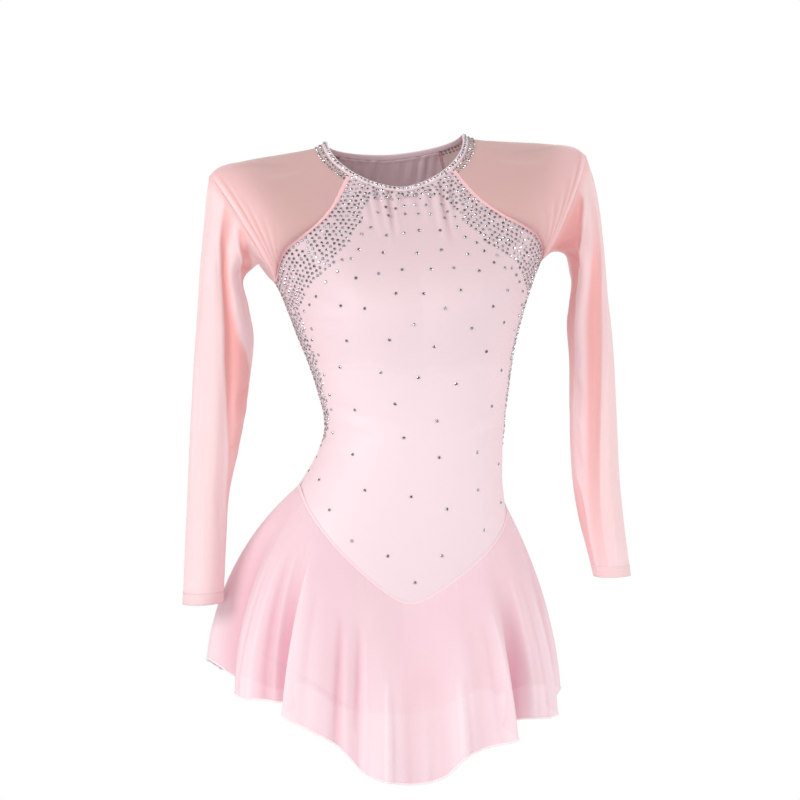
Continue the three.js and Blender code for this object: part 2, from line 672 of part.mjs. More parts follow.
function sleeve(side, table, creases) {
  const armpit = armhole(side, 0);
  const corner = armhole(side, 0.5);
  const depth = (ARMHOLE.front + ARMHOLE.back) / 2;
  const start = { inX: armpit.x, inDown: -armpit.z, outX: corner.x, outDown: -corner.z, deep: depth, mid: 0 };
  const sections = [start, ...table].map((row, k) => ({ ...row, section: k }));
  const hang = curves(sections, "section");
  const tubePoint = (share, around) => {
    const k = share * table.length;
    const inner = new THREE.Vector3(hang.inX(k), hang.mid(k), -hang.inDown(k));
    const outer = new THREE.Vector3(hang.outX(k), hang.mid(k), -hang.outDown(k));
    const turn = 2 * Math.PI * around;
    const tuck = 1 - creaseDepth(creases, around, share);
    const point = inner.clone().add(outer).multiplyScalar(0.5);
    point.addScaledVector(inner.sub(outer), (Math.cos(turn) / 2) * tuck);
    point.y -= hang.deep(k) * Math.sin(turn) * tuck;
    return point;
  };
  const around = steps(COLUMNS.sleeve);
  const grid = [
    ...steps(ROWS.raglan).slice(0, -1).map((out) => around.map((t) => yokePoint(side, out, t))),
    ...steps(ROWS.tube).map((share) =>
      around.map((t) => (share === 0 ? armhole(side, t) : tubePoint(share, t))),
    ),
  ];
  const shutRow = ROWS.raglan;
  const normals = gridNormals(grid, -side, shutRow);
  shutNormals(normals, shutRow);
  const end = COLUMNS.sleeve;
  for (let j = 0; j < shutRow; j += 1) {
    const along = 1 - j / ROWS.raglan;
    normals[j][0] = edgeFacing(raglanSpot(along, false), side);
    normals[j][end] = edgeFacing(raglanSpot(along, true), side);
  }
  around.forEach((t, i) => {
    const angle = mix(RAGLAN_ANGLE, Math.PI - RAGLAN_ANGLE, t);
    normals[0][i] = bandFacing(side * angle);
  });
  // The seam edges stand off the bodice; the armpit point, where they meet, is lifted by the same amount.
  const trimmed = inset(grid.slice(0, shutRow + 1), { sides: true, first: true });
  trimmed[shutRow] = grid[shutRow].map((p) => p.clone());
  const lift = new THREE.Vector3(0, 0, SEAM_GAP);
  trimmed[shutRow][0].add(lift);
  trimmed[shutRow][end].copy(trimmed[shutRow][0]);
  return clothWall([...trimmed, ...grid.slice(shutRow + 1)], normals, WALL, shutRow);
}

add("sleeve_right", sleeve(-1, SLEEVE_RIGHT, CREASES_RIGHT), SLEEVE_MESH);
add("sleeve_left", sleeve(1, SLEEVE_LEFT, CREASES_LEFT), SLEEVE_MESH);

// ---------------------------------------------------------------- skirt

const flare = curves(FLARE, "at", 360);
const fold = curves(FOLDS, "at", 360);
const LENGTH_STEPS = 24;

// One line of skirt cloth, from the waist seam to the hem. Its level falls so that the cloth keeps its length.
function skirtLine(angle, shares) {
  const degrees = angle / DEG;
  const start = waistPoint(angle);
  const straightOut = waistFacing(angle).setZ(0).normalize();
  const sideways = new THREE.Vector3(-straightOut.y, straightOut.x, 0);
  const [length, base] = [flare.length(degrees), flare.out(degrees)];
  const [ridge, lean] = [fold.out(degrees), fold.lean(degrees)];
  const reach = (v) => base * (1 - (1 - v) ** FLARE_BEND) + ridge * v ** FOLD_BEND;
  const drop = (v) => {
    let fallen = 0;
    for (let k = 0; k < LENGTH_STEPS; k += 1) {
      const [from, to] = [(v * k) / LENGTH_STEPS, (v * (k + 1)) / LENGTH_STEPS];
      fallen += Math.sqrt(Math.max(0, (length * (to - from)) ** 2 - (reach(to) - reach(from)) ** 2));
    }
    return fallen;
  };
  return shares.map((v) => {
    const point = start.clone().addScaledVector(straightOut, reach(v));
    point.addScaledVector(sideways, lean * v ** FOLD_BEND);
    point.z -= drop(v);
    return point;
  });
}

// Half the skirt. The directions are worked out with one more column on each side, so the halves agree there.
function skirt(middle) {
  const shares = steps(ROWS.skirt);
  const width = (2 * QUARTER) / COLUMNS.skirt;
  const angles = Array.from({ length: COLUMNS.skirt + 3 }, (_, i) => middle - QUARTER + (i - 1) * width);
  const lines = angles.map((angle) => skirtLine(angle, shares));
  const wide = shares.map((_, j) => lines.map((line) => line[j]));
  const facing = gridNormals(wide, -1);
  facing[0] = angles.map(waistFacing);
  const panel = (rows) => rows.map((row) => row.slice(1, -1));
  return clothWall(inset(panel(wide), { sides: true, first: true }), panel(facing));
}

add("skirt_front", skirt(0), SKIRT_MESH);
add("skirt_back", skirt(Math.PI), SKIRT_MESH);

// ---------------------------------------------------------------- briefs

// One panel of the briefs. Its upper rows follow the figure below the waist seam; its lower rows run between the
// leg edges and the centre line, which turns under to the crotch seam.
function briefs(table, backwards) {
  const middle = curves(table.middle, "along");
  const leg = curves(table.leg, "along");
  const rowCount = ROWS.briefsSide + ROWS.briefsLeg;
  const sideShare = ROWS.briefsSide / rowCount;
  const forwards = backwards ? 1 : -1;
  const centre = backwards ? Math.PI : 0;
  const toLeg = (v) => Math.max(0, (v - sideShare) / (1 - sideShare));
  const point = (u, v) => {
    const angle = centre + u * QUARTER;
    const shape = mix(waistShape(Math.abs(u)), u * u, ease(Math.min(1, v / sideShare)));
    const edgeDown = v < sideShare ? mix(SIDE_SEAM_DOWN, LEG_SIDE_DOWN, v / sideShare) : leg.down(toLeg(v));
    const down = mix(middle.down(v), edgeDown, shape);
    const onFigure = figurePoint(angle, down);
    const share = toLeg(v);
    const s = Math.abs(Math.sin(angle)) ** SECTION_POWER;
    const c = Math.abs(Math.cos(angle)) ** (SECTION_POWER * mix(1, CROTCH_FLATNESS, share));
    const onLeg = new THREE.Vector3(
      Math.sign(Math.sin(angle)) * s * leg.across(share),
      forwards * mix(leg.out(share), middle.out(v), c),
      -down,
    );
    return stand(onFigure.lerp(onLeg, ease(Math.min(1, v / sideShare))));
  };
  const grid = steps(rowCount).map((v) => across.map((u) => point(u, v)));
  const normals = gridNormals(grid, -1);
  normals[rowCount].forEach((normal) => normal.setY(0).normalize());
  steps(ROWS.briefsSide).forEach((s, j) => {
    const spot = { angle: QUARTER, down: mix(SIDE_SEAM_DOWN, LEG_SIDE_DOWN, s) };
    normals[j][0] = edgeFacing(spot, backwards ? 1 : -1);
    normals[j][COLUMNS.torso] = edgeFacing(spot, backwards ? -1 : 1);
  });
  across.forEach((u, i) => {
    normals[0][i] = waistFacing(centre + u * QUARTER);
  });
  const under = WALL + SEAM_GAP; // the briefs lie inside the skirt's top
  const layer = grid.map((row, j) => row.map((p, i) => p.clone().addScaledVector(normals[j][i], -under)));
  return clothWall(inset(layer, { sides: true, first: true, last: true }), normals);
}

add("briefs_front", briefs(BRIEFS_FRONT, false), BRIEFS_JERSEY);
add("briefs_back", briefs(BRIEFS_BACK, true), BRIEFS_JERSEY);

export default dress;
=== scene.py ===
# %% [markdown]
# # A figure skating dress
#
# The dress is a stretch leotard with raglan sleeves and a short circular skirt of stretch mesh, set with small
# faceted stones. It keeps the hollow form and the stance that it has when it is worn. Every panel is a surface
# worked out as whole numpy arrays, on the same figure as the solids that it replaces. The other ways, sculpting
# or a cloth simulation on a body, would need a body in the scene, and wouldn't keep the cut.

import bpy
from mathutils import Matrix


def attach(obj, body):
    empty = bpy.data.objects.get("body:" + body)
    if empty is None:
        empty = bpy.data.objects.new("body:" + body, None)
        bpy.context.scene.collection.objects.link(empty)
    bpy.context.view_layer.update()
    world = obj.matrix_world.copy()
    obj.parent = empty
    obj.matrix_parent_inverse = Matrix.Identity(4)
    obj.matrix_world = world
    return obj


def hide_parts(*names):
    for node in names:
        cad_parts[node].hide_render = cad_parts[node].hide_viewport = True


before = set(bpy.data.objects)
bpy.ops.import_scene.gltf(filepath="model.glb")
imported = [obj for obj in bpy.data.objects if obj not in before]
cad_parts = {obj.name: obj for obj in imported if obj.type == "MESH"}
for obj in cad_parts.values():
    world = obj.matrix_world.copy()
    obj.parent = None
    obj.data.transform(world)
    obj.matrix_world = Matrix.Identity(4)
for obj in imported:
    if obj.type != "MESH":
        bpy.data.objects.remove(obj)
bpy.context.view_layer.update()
print("solids:", ", ".join(sorted(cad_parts)))

import bmesh
import bpy
import numpy as np
from mathutils import Vector

MM = 0.001  # tables are in millimetres, meshes in metres
QUARTER = np.pi / 2
CHANCE = np.random.default_rng(7)  # one seeded source, so each run gives the same dress

# %% [markdown]
# ## Tables and curves
#
# A pattern cutter works from a short list of measurements. So does this script: a table holds a row for each
# level or fold, and a smooth curve runs through each of its columns. A cubic through the rows was chosen over
# straight pieces, because cloth shows every kink as a line of light.


# %% Tables with named columns
def table(names, *rows):
    """A short table: each name is one column of numbers."""
    return dict(zip(names.split(), np.array(rows, float).T))


def curve(rows, name, at, period=None):
    """The smooth curve through a column, read against the first column. Each piece is a cubic whose slope at a
    row is that of the line between the rows beside it. With a period the table is a closed round."""
    key = next(iter(rows))
    places, values = rows[key], rows[name]
    if period:
        places = np.concatenate([places - period, places, places + period])
        values = np.tile(values, 3)
    before = np.maximum(np.arange(len(places)) - 1, 0)
    after = np.minimum(np.arange(len(places)) + 1, len(places) - 1)
    slope = (values[after] - values[before]) / (places[after] - places[before])
    at = np.clip(at, places[0], places[-1])
    i = np.clip(np.searchsorted(places, at) - 1, 0, len(places) - 2)
    width = places[i + 1] - places[i]
    s = (at - places[i]) / width
    rise = s * s * (3 - 2 * s)
    bend = width * s * (1 - s) * (slope[i] * (1 - s) - slope[i + 1] * s)
    return values[i] * (1 - rise) + values[i + 1] * rise + bend


def mix(a, b, share):
    """A straight mix of a and b."""
    return a + (b - a) * share


def ease(s):
    """0 to 1 with a level start and end: s squared times (3 - 2 s)."""
    s = np.clip(s, 0, 1)
    return s * s * (3 - 2 * s)


def bell(distance, width):
    """A smooth bump, 1 in the middle: e to the power of minus the square of distance over width."""
    return np.exp(-((distance / width) ** 2))


def signed_power(value, power):
    """A power of the value's size, with the value's own sign."""
    return np.sign(value) * np.abs(value) ** power


def run_along(path):
    """The distance along a path at each of its points, from 0."""
    return np.concatenate([[0], np.cumsum(np.linalg.norm(np.diff(path, axis=0), axis=1))])


def spots_along(path, run, stops):
    """The points of a path, or of directions along it, at the given distances."""
    return np.stack([np.interp(stops, run, path[:, k]) for k in range(3)], -1)


# %% [markdown]
# ## The figure and its stance
#
# The dress is cut the same on both sides, but it hangs in a relaxed stance: one shoulder is up, the waist is
# pushed aside and the other hip is up. So the figure is worked out upright first, from level sections, and each
# point is then shifted, tilted and turned by its height. Modelling the leaning form directly would have lost
# the symmetry of the cut.

# %% The figure's sections
FIGURE = table(
    "down half front back",
    (-15, 70, 38, 36), (4, 96, 42, 42), (12, 140, 44, 51), (20, 174, 45, 59), (39, 208, 52, 74),
    (61, 213, 67, 85), (87, 202, 84, 95), (115, 180, 98, 102), (152, 153, 111, 106), (190, 137, 117, 103),
    (217, 128, 115, 98), (252, 117, 105, 90), (286, 109.5, 95, 82), (321, 103.5, 89, 77),
    (355, 104.5, 90, 82), (390, 113, 95, 94), (430, 130, 101, 107), (470, 145, 104, 116),
    (520, 157, 104, 119), (570, 162, 99, 113), (620, 158, 90, 100),
)
SECTION_POWER = 2 / 2.3  # 1 would make each section an ellipse
CUPS = dict(apart=58, down=196, wide=34, tall=32, rise=9, bridge=0.45)


def cup_rise(x, down):
    """Two soft bells side by side, with cloth bridging the dip between them."""
    level = bell(down - CUPS["down"], CUPS["tall"] * np.sqrt(2))
    sides = bell(np.abs(x) - CUPS["apart"], CUPS["wide"] * np.sqrt(2))
    return CUPS["rise"] * level * np.minimum(1, sides + CUPS["bridge"] * bell(x, CUPS["apart"]))


def figure_point(angle, down):
    """A superellipse at each level: half width by the sine, depth by the cosine, each to the section power. The
    angle is 0 at the centre front and a quarter turn at the wearer's left side."""
    s, c = np.sin(angle), np.cos(angle)
    depth = np.where(c > 0, curve(FIGURE, "front", down), curve(FIGURE, "back", down))
    x = curve(FIGURE, "half", down) * signed_power(s, SECTION_POWER)
    y = -depth * signed_power(c, SECTION_POWER)
    y = y - cup_rise(x, down) * np.maximum(c, 0)
    return np.stack([x, y, -down + 0 * x], -1)


# %% The stance
STANCE = table(
    "down shift roll twist",
    (-20, 1.5, 4.2, 0), (40, 2.5, 4.2, 0), (80, 4, 4.2, 0), (120, 8, 4.2, 0), (155, 11, 4.1, 0),
    (217, 12, 3, 0), (286, 17.5, 1.2, 0), (321, 19, -0.5, 0.5), (355, 16, -2.5, 1), (390, 8, -4.2, 2),
    (430, 0, -5, 3.5), (480, -8, -5, 5), (528, -13, -5, 6), (575, -17, -5, 6), (700, -21, -5, 6),
)


def stand(points):
    """Turns each level about the upright axis, tilts it sideways and shifts it, by the stance table."""
    x, y, z = np.moveaxis(points, -1, 0)
    twist = np.radians(curve(STANCE, "twist", -z))
    roll = np.radians(curve(STANCE, "roll", -z))
    turned = x * np.cos(twist) - y * np.sin(twist)
    deep = x * np.sin(twist) + y * np.cos(twist)
    return np.stack([curve(STANCE, "shift", -z) + turned * np.cos(roll), deep, z + turned * np.sin(roll)], -1)


def standing(angle, down):
    """A point of the figure in its stance."""
    return stand(figure_point(angle, down))


def unit(vectors):
    """The same directions with length 1."""
    return vectors / np.maximum(np.linalg.norm(vectors, axis=-1, keepdims=True), 1e-9)


def outward(angle, down):
    """The figure's outward direction: its tangent round the level crossed with its tangent upwards."""
    around = standing(angle + 0.01, down) - standing(angle - 0.01, down)
    return unit(np.cross(around, standing(angle, down - 1) - standing(angle, down + 1)))


# %% [markdown]
# ## From grids to meshes
#
# A panel is a grid of points. One function turns any grid into a mesh with quads, a UV map that is measured
# along the cloth, and named attributes that its material can read. The UV map counts millimetres, so that a
# knit or a net has its real size on every piece.


# %% Grids, normals and meshes
def grid_normals(grid, out_from=None):
    """The cross product of the two directions of the grid at each point. Given a middle, they face away from it."""
    normals = unit(np.cross(np.gradient(grid, axis=1), np.gradient(grid, axis=0)))
    if out_from is None:
        return normals
    return normals * np.sign(np.sum(normals * (grid - out_from), axis=(0, 1, 2)))


def cloth_uv(grid):
    """Distance along the middle row and the middle column, in metres."""
    rows, columns = grid.shape[:2]
    u, v = run_along(grid[rows // 2]) * MM, run_along(grid[:, columns // 2]) * MM
    return np.stack(np.meshgrid(u, v), -1)


def new_piece(name, mesh):
    """Puts a mesh into the scene as a piece of the dress."""
    piece = bpy.data.objects.new(name, mesh)
    bpy.context.collection.objects.link(piece)
    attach(piece, "root")
    return piece


def set_values(mesh, name, domain, values):
    """A named attribute, one number to each point or face, which a material can read."""
    mesh.attributes.new(name, "FLOAT", domain).data.foreach_set("value", values.astype(np.float32).ravel())


def grid_mesh(name, grid, facing, masks, round_u=False, round_v=False):
    """A mesh of quads through a grid of points in millimetres. A round direction joins its end to its start.
    Facing is any outward direction for each point, and turns the faces over if they disagree with it. A mask is
    one number for the whole piece or one for each point."""
    rows, columns = grid.shape[:2]
    j, i = np.meshgrid(np.arange(rows - (not round_v)), np.arange(columns - (not round_u)), indexing="ij")
    j2, i2 = (j + 1) % rows, (i + 1) % columns
    corners = np.stack([j * columns + i, j * columns + i2, j2 * columns + i2, j2 * columns + i], -1)
    corners = corners.reshape(-1, 4)
    flat, ways = grid.reshape(-1, 3), facing.reshape(-1, 3)
    a, b, c, d = (flat[corners[:, k]] for k in range(4))
    if np.sum(np.cross(c - a, d - b) * ways[corners[:, 0]]) < 0:
        corners = corners[:, ::-1]
    mesh = bpy.data.meshes.new(name)
    mesh.from_pydata((flat * MM).tolist(), [], corners.tolist())
    mesh.polygons.foreach_set("use_smooth", np.ones(len(corners), bool))
    uv = cloth_uv(grid).reshape(-1, 2)[corners.ravel()]
    mesh.uv_layers.new(name="cloth").uv.foreach_set("vector", uv.astype(np.float32).ravel())
    for mask, values in masks.items():
        set_values(mesh, mask, "POINT", np.broadcast_to(values, (rows, columns)))
    mesh.update()
    return new_piece(name, mesh)


WELD_DISTANCE = 0.02 * MM


def weld(piece):
    """Joins points that lie on each other, which closes a tube whose first and last column agree."""
    work = bmesh.new()
    work.from_mesh(piece.data)
    bmesh.ops.remove_doubles(work, verts=work.verts, dist=WELD_DISTANCE)
    work.to_mesh(piece.data)
    work.free()
    piece.data.update()


def thicken(piece, thickness):
    """Gives a panel the thickness of its cloth, inwards."""
    wall = piece.modifiers.new("cloth thickness", "SOLIDIFY")
    wall.thickness = thickness * MM
    wall.offset = -1
    wall.use_even_offset = False


def area_of(piece):
    """Area of a piece's faces, in square metres."""
    areas = np.empty(len(piece.data.polygons))
    piece.data.polygons.foreach_get("area", areas)
    return float(areas.sum())


# %% [markdown]
# ## Creases
#
# Stretch cloth lies smooth where it is held and creases where it is slack: under the gathered neckline, from
# the armpits to the shoulder corners, along the empty sleeves. Each crease is drawn as a line on the
# cloth, and lifts or lowers it as a soft bell. Uneven lengths, depths and spacing keep them from looking ruled.


# %% Creases drawn as lines
def crease_relief(across, along, rows):
    """The sum of soft bells across each line, in millimetres. A line runs from (a0, b0) to (a1, b1), and fades
    towards both of its ends. Depth above 0 is a ridge."""
    relief = np.zeros(np.broadcast(across, along).shape)
    for a0, b0, a1, b1, wide, depth in zip(*rows.values()):
        run_a, run_b = a1 - a0, b1 - b0
        share = ((across - a0) * run_a + (along - b0) * run_b) / (run_a**2 + run_b**2)
        held = np.clip(share, 0, 1)
        aside = np.hypot(across - a0 - held * run_a, along - b0 - held * run_b)
        relief += depth * bell(aside, wide) * np.clip(4 * held * (1 - held), 0, 1) ** 0.7
    return relief


def uneven_wave(at, length, seed=0):
    """A wave whose spacing and height wander: three sines whose lengths are no simple multiples."""
    turn = 2 * np.pi * at / length
    return (np.sin(turn + seed) + 0.6 * np.sin(turn * 0.63 + 2.1 * seed) + 0.4 * np.sin(turn * 1.71 + 3.7 * seed)) / 2


# %% [markdown]
# ## Cloth materials
#
# Two effects are shared by several cloths, so each is a node group. `fine knit` draws the ribs and stitches of
# stretch jersey, and `fine net` draws the threads and holes of stretch mesh. Both are worked out from the UV
# map, in real sizes. A picture of cloth would be quicker, but it would repeat and blur close up.


# %% Helpers for node trees
def wire(tree, kind, inputs=None, **settings):
    """Adds a node, sets its properties, and fills its inputs with values or with other nodes' outputs."""
    node = tree.nodes.new(kind)
    for name, value in settings.items():
        setattr(node, name, value)
    for key, value in (inputs or {}).items():
        if isinstance(value, bpy.types.NodeSocket):
            tree.links.new(value, node.inputs[key])
        else:
            node.inputs[key].default_value = value
    return node


def math_node(tree, operation, a, b=0.0, c=0.0):
    """One step of arithmetic."""
    return wire(tree, "ShaderNodeMath", {0: a, 1: b, 2: c}, operation=operation).outputs[0]


def attribute(tree, name):
    """One of the piece's masks."""
    return wire(tree, "ShaderNodeAttribute", attribute_name=name).outputs["Fac"]


def uneven(tree, scale, detail):
    """Slow noise on the object's own coordinates."""
    place = wire(tree, "ShaderNodeTexCoord").outputs["Object"]
    return wire(tree, "ShaderNodeTexNoise", {"Vector": place, "Scale": scale, "Detail": detail}).outputs["Fac"]


def blend(tree, share, first, second):
    """The first colour, turning into the second as share goes from 0 to 1."""
    inputs = {0: share, 6: first, 7: second}
    return wire(tree, "ShaderNodeMix", inputs, data_type="RGBA", clamp_factor=True).outputs[2]


def group(name, inputs, outputs):
    """An empty node group with named inputs, as (name, kind, value), and named outputs, as (name, kind)."""
    tree = bpy.data.node_groups.new(name, "ShaderNodeTree")
    for title, kind, value in inputs:
        socket = tree.interface.new_socket(title, in_out="INPUT", socket_type="NodeSocket" + kind)
        if value is not None:
            socket.default_value = value
    for title, kind in outputs:
        tree.interface.new_socket(title, in_out="OUTPUT", socket_type="NodeSocket" + kind)
    return tree, tree.nodes.new("NodeGroupInput").outputs, tree.nodes.new("NodeGroupOutput").inputs


# %% The fine knit and the fine net
def make_knit():
    """Ribs are a sine across the cloth, and stitches a shorter sine along it, shifted on every other rib."""
    tree, given, out = group(
        "fine knit",
        [("Place", "Vector", None), ("Ribs per metre", "Float", 900.0), ("Depth", "Float", 1.0)],
        [("Height", "Float")],
    )
    place = wire(tree, "ShaderNodeSeparateXYZ", {0: given["Place"]}).outputs
    across = math_node(tree, "MULTIPLY", place[0], given["Ribs per metre"])
    along = math_node(tree, "MULTIPLY", place[1], given["Ribs per metre"])
    rib = math_node(tree, "SINE", math_node(tree, "MULTIPLY", across, 2 * np.pi))
    shift = math_node(tree, "MULTIPLY", math_node(tree, "FLOOR", across), 0.5)
    stitch = math_node(tree, "SINE", math_node(tree, "MULTIPLY", math_node(tree, "ADD", along, shift), 2 * np.pi))
    both = math_node(tree, "MULTIPLY_ADD", stitch, 0.5, rib)
    tree.links.new(math_node(tree, "MULTIPLY", both, given["Depth"]), out["Height"])
    return tree


HOLE, THREAD = -0.4, 0.9  # the wave's heights at which a hole ends and a thread is whole


def make_net():
    """Two families of slanting threads: each is the upper part of a sine across its own slant."""
    tree, given, out = group(
        "fine net",
        [("Place", "Vector", None), ("Threads per metre", "Float", 700.0), ("Slackest", "Float", 0.5),
         ("Tightest", "Float", 0.9)],
        [("Cover", "Float"), ("Height", "Float")],
    )
    place = wire(tree, "ShaderNodeSeparateXYZ", {0: given["Place"]}).outputs
    turns = math_node(tree, "MULTIPLY", given["Threads per metre"], 2 * np.pi)
    families = []
    for slant in (1.0, -1.0):
        line = math_node(tree, "MULTIPLY_ADD", place[1], slant, place[0])
        families.append(math_node(tree, "COSINE", math_node(tree, "MULTIPLY", line, turns)))
    thread = math_node(tree, "MAXIMUM", *families)
    width = {"From Min": HOLE, "From Max": THREAD, "To Min": given["Slackest"], "To Max": given["Tightest"]}
    cover = wire(tree, "ShaderNodeMapRange", {"Value": thread, **width}, interpolation_type="SMOOTHSTEP")
    tree.links.new(cover.outputs[0], out["Cover"])
    tree.links.new(thread, out["Height"])
    return tree


def make_tone():
    """Mixes a light and a deep shade by a mask, which on most panels carries painted shade and highlight, with
    slow uneven clouds where the cloth is dyed a little more or less.
    """
    tree, given, out = group(
        "dyed tone and painted shade",
        [("Light", "Color", (1, 1, 1, 1)), ("Deep", "Color", (1, 1, 1, 1)), ("Mask", "Float", 0.0),
         ("Clouds", "Float", 0.06)],
        [("Colour", "Color")],
    )
    clouds = uneven(tree, 14.0, 2.0)
    drift = math_node(tree, "MULTIPLY", math_node(tree, "SUBTRACT", clouds, 0.5), given["Clouds"])
    share = math_node(tree, "ADD", given["Mask"], drift)
    tree.links.new(blend(tree, share, given["Light"], given["Deep"]), out["Colour"])
    return tree


KNIT, NET, TONE = make_knit(), make_net(), make_tone()


def colour(hex_code):
    """A screen colour, such as F7DDE1, as the linear values that a shader takes."""
    screen = np.array([int(hex_code[k : k + 2], 16) for k in (0, 2, 4)]) / 255
    linear = np.where(screen > 0.04045, ((screen + 0.055) / 1.055) ** 2.4, screen / 12.92)
    return (*linear, 1.0)


def use_group(tree, shared, inputs):
    """Places a shared group in a material, with this material's own values."""
    return wire(tree, "ShaderNodeGroup", inputs, node_tree=shared).outputs


# %% Jersey and mesh
PAINTED_INSIDE_TONE = "CFA8A3"  # painted shade: the greyer inside seen through the yoke's mesh


def new_material(name, **constants):
    """A Principled material with the given constants on its own sockets."""
    material = bpy.data.materials.new(name)
    material.use_nodes = True
    shader = material.node_tree.nodes["Principled BSDF"]
    for key, value in constants.items():
        shader.inputs[key.replace("_", " ")].default_value = value
    return material, material.node_tree, shader


def dye_and_painted_shade(tree, light, deep, clouds):
    """The cloth's colour: its light and its deep shade, mixed by its deep mask, which on most panels is partly
    painted shade and highlight.
    """
    shades = {"Light": colour(light), "Deep": colour(deep), "Mask": attribute(tree, "deep"), "Clouds": clouds}
    return use_group(tree, TONE, shades)["Colour"]


def thread_bump(tree, height, strength):
    """Threads raised by a fifth of a millimetre, times the strength."""
    return wire(tree, "ShaderNodeBump", {"Height": height, "Strength": strength, "Distance": 0.2 * MM}).outputs[0]


def fill(tree, shader, **sources):
    """Wires each source into the shader's input of that name."""
    for key, source in sources.items():
        tree.links.new(source, shader.inputs[key.replace("_", " ")])


def jersey(name, light, deep, roughness=0.46):
    """Stretch jersey: opaque, with a soft satin gloss, a little sheen at its edges and a fine knit."""
    material, tree, shader = new_material(
        name, Sheen_Weight=0.25, Sheen_Roughness=0.4, Specular_IOR_Level=0.35
    )
    uv = wire(tree, "ShaderNodeUVMap", uv_map="cloth").outputs[0]
    knit = use_group(tree, KNIT, {"Place": uv, "Ribs per metre": 1100.0, "Depth": 1.0})
    range_of = {"To Min": roughness - 0.05, "To Max": roughness + 0.07}
    gloss = wire(tree, "ShaderNodeMapRange", {"Value": uneven(tree, 30.0, 3.0), **range_of}).outputs[0]
    bump = thread_bump(tree, knit["Height"], 0.12)
    fill(tree, shader, Base_Color=dye_and_painted_shade(tree, light, deep, 0.08), Roughness=gloss, Normal=bump)
    return material


def mesh_cloth(name, light, deep, slackest, tightest):
    """Stretch mesh: a fine net that lets part of the light through, and matt. Where its second mask says, it turns
    greyer: painted shade of the darker inside seen through it."""
    material, tree, shader = new_material(
        name, Roughness=0.62, Sheen_Weight=0.35, Sheen_Roughness=0.45, Specular_IOR_Level=0.25
    )
    uv = wire(tree, "ShaderNodeUVMap", uv_map="cloth").outputs[0]
    cover = {"Slackest": slackest, "Tightest": tightest}
    net = use_group(tree, NET, {"Place": uv, "Threads per metre": 900.0, **cover})
    shade = blend(tree, attribute(tree, "painted_inside_shade"), dye_and_painted_shade(tree, light, deep, 0.12), colour(PAINTED_INSIDE_TONE))
    bump = thread_bump(tree, net["Height"], 0.1)
    fill(tree, shader, Base_Color=shade, Alpha=net["Cover"], Normal=bump)
    return material


# The deep colours are mixed in by each piece's deep mask: partly lining, hems and double mesh, and partly painted shade
# in folds and on the chest, with painted highlight on ridges.
BODICE_JERSEY = jersey("bodice jersey", "F5E0E6", "D9BCC2")
BRIEFS_JERSEY = jersey("briefs jersey", "FBE2E8", "F5CDD6")
SLEEVE_MESH = mesh_cloth("sleeve mesh", "FFE1E4", "F8AEAB", 0.76, 0.95)
SKIRT_MESH = mesh_cloth("skirt mesh", "FDE3EB", "DC859B", 0.83, 0.97)
SEAM_TAPE = jersey("seam tape", "FADFE5", "F3CBD4", roughness=0.55)
RAGLAN_TAPE = jersey("raglan tape", "F7C7CC", "EFB3B9", roughness=0.65)
HEM_THREAD = jersey("rolled hem thread", "FFF0F3", "FADDE4", roughness=0.6)


def dress_in(piece, material):
    """Gives a piece its material."""
    piece.data.materials.append(material)


JERSEY_THICKNESS = 0.8
panels = {}  # each panel's piece, grid and outward directions, by the name of its solid


def cloth_panel(name, kind, surface, material, tube=False, thickness=0):
    """Makes a sewn panel from its grid, outward directions and masks, in place of the solid of that name."""
    grid, facing, masks = surface
    piece = grid_mesh(f"{name}_{kind}", grid, facing, masks)
    if tube:
        weld(piece)
    dress_in(piece, material)
    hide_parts(name)
    panels[name] = dict(piece=piece, grid=grid, facing=facing)
    print(name, "area", round(area_of(piece), 4), "m2")
    if thickness:
        thicken(piece, thickness)


# %% [markdown]
# ## The bodice
#
# The bodice is cut in a front and a back. Each runs from the pointed waist seam up the side seam to the armpit,
# then along the raglan seam to the neck. Here the grid follows that cut: its side edges are those two seams, its
# lowest row is the waist seam, and its highest row is the neck seam.

# %% Seam lines shared by the panels
ARMPIT_DOWN = 152
SIDE_SEAM_DOWN = 406
FRONT_POINT_DOWN = 520
BACK_POINT_DOWN = 486
WAIST_BEND = 1.6
POINT_ROUNDING = 0.04
NECK_SEAM = dict(half=84.5, front=61.5, back=56.5, front_down=64, side_down=-1.5, back_down=14.5)
NECK_EDGE = dict(half=78.5, front=57, back=53, front_down=58.5, side_down=-4, back_down=8.5)
NECK_ASIDE = -5  # the worn neckline sits a little towards the wearer's right
RAGLAN_ANGLE = np.radians(44)
RAGLAN = table(
    "along across down",
    (0, 153, 152), (0.14, 151, 136), (0.27, 143, 121), (0.4, 128.5, 110), (0.56, 106.5, 95), (0.71, 88.5, 78),
    (0.86, 76, 60), (1, 63.9, 39),
)


def waist_shape(share):
    """0 at the rounded tip of the waist seam and 1 at the side, steep at the tip and level at the side."""
    r = POINT_ROUNDING
    return 1 - np.maximum(0, 1 - (np.hypot(share, r) - r) / (np.hypot(1, r) - r)) ** WAIST_BEND


def waist_down(angle):
    """Level of the waist seam round the figure."""
    forwards = np.cos(angle) > 0
    tip = np.where(forwards, FRONT_POINT_DOWN, BACK_POINT_DOWN)
    turn = np.abs(np.arctan2(np.sin(angle), np.cos(angle)))
    share = np.where(forwards, turn, np.pi - turn) / QUARTER
    return tip + (SIDE_SEAM_DOWN - tip) * waist_shape(share)


def neck_point(line, angle):
    """The neck opening: a squarish ellipse in plan, which dips in front and a little behind."""
    c = np.cos(angle)
    y = np.where(c > 0, -line["front"], line["back"]) * np.abs(c) ** 0.8
    dip = (1 - np.abs(c)) ** 0.83
    down = mix(np.where(c > 0, line["front_down"], line["back_down"]), line["side_down"], dip)
    return np.stack([line["half"] * np.sin(angle) + NECK_ASIDE, y, -down], -1)


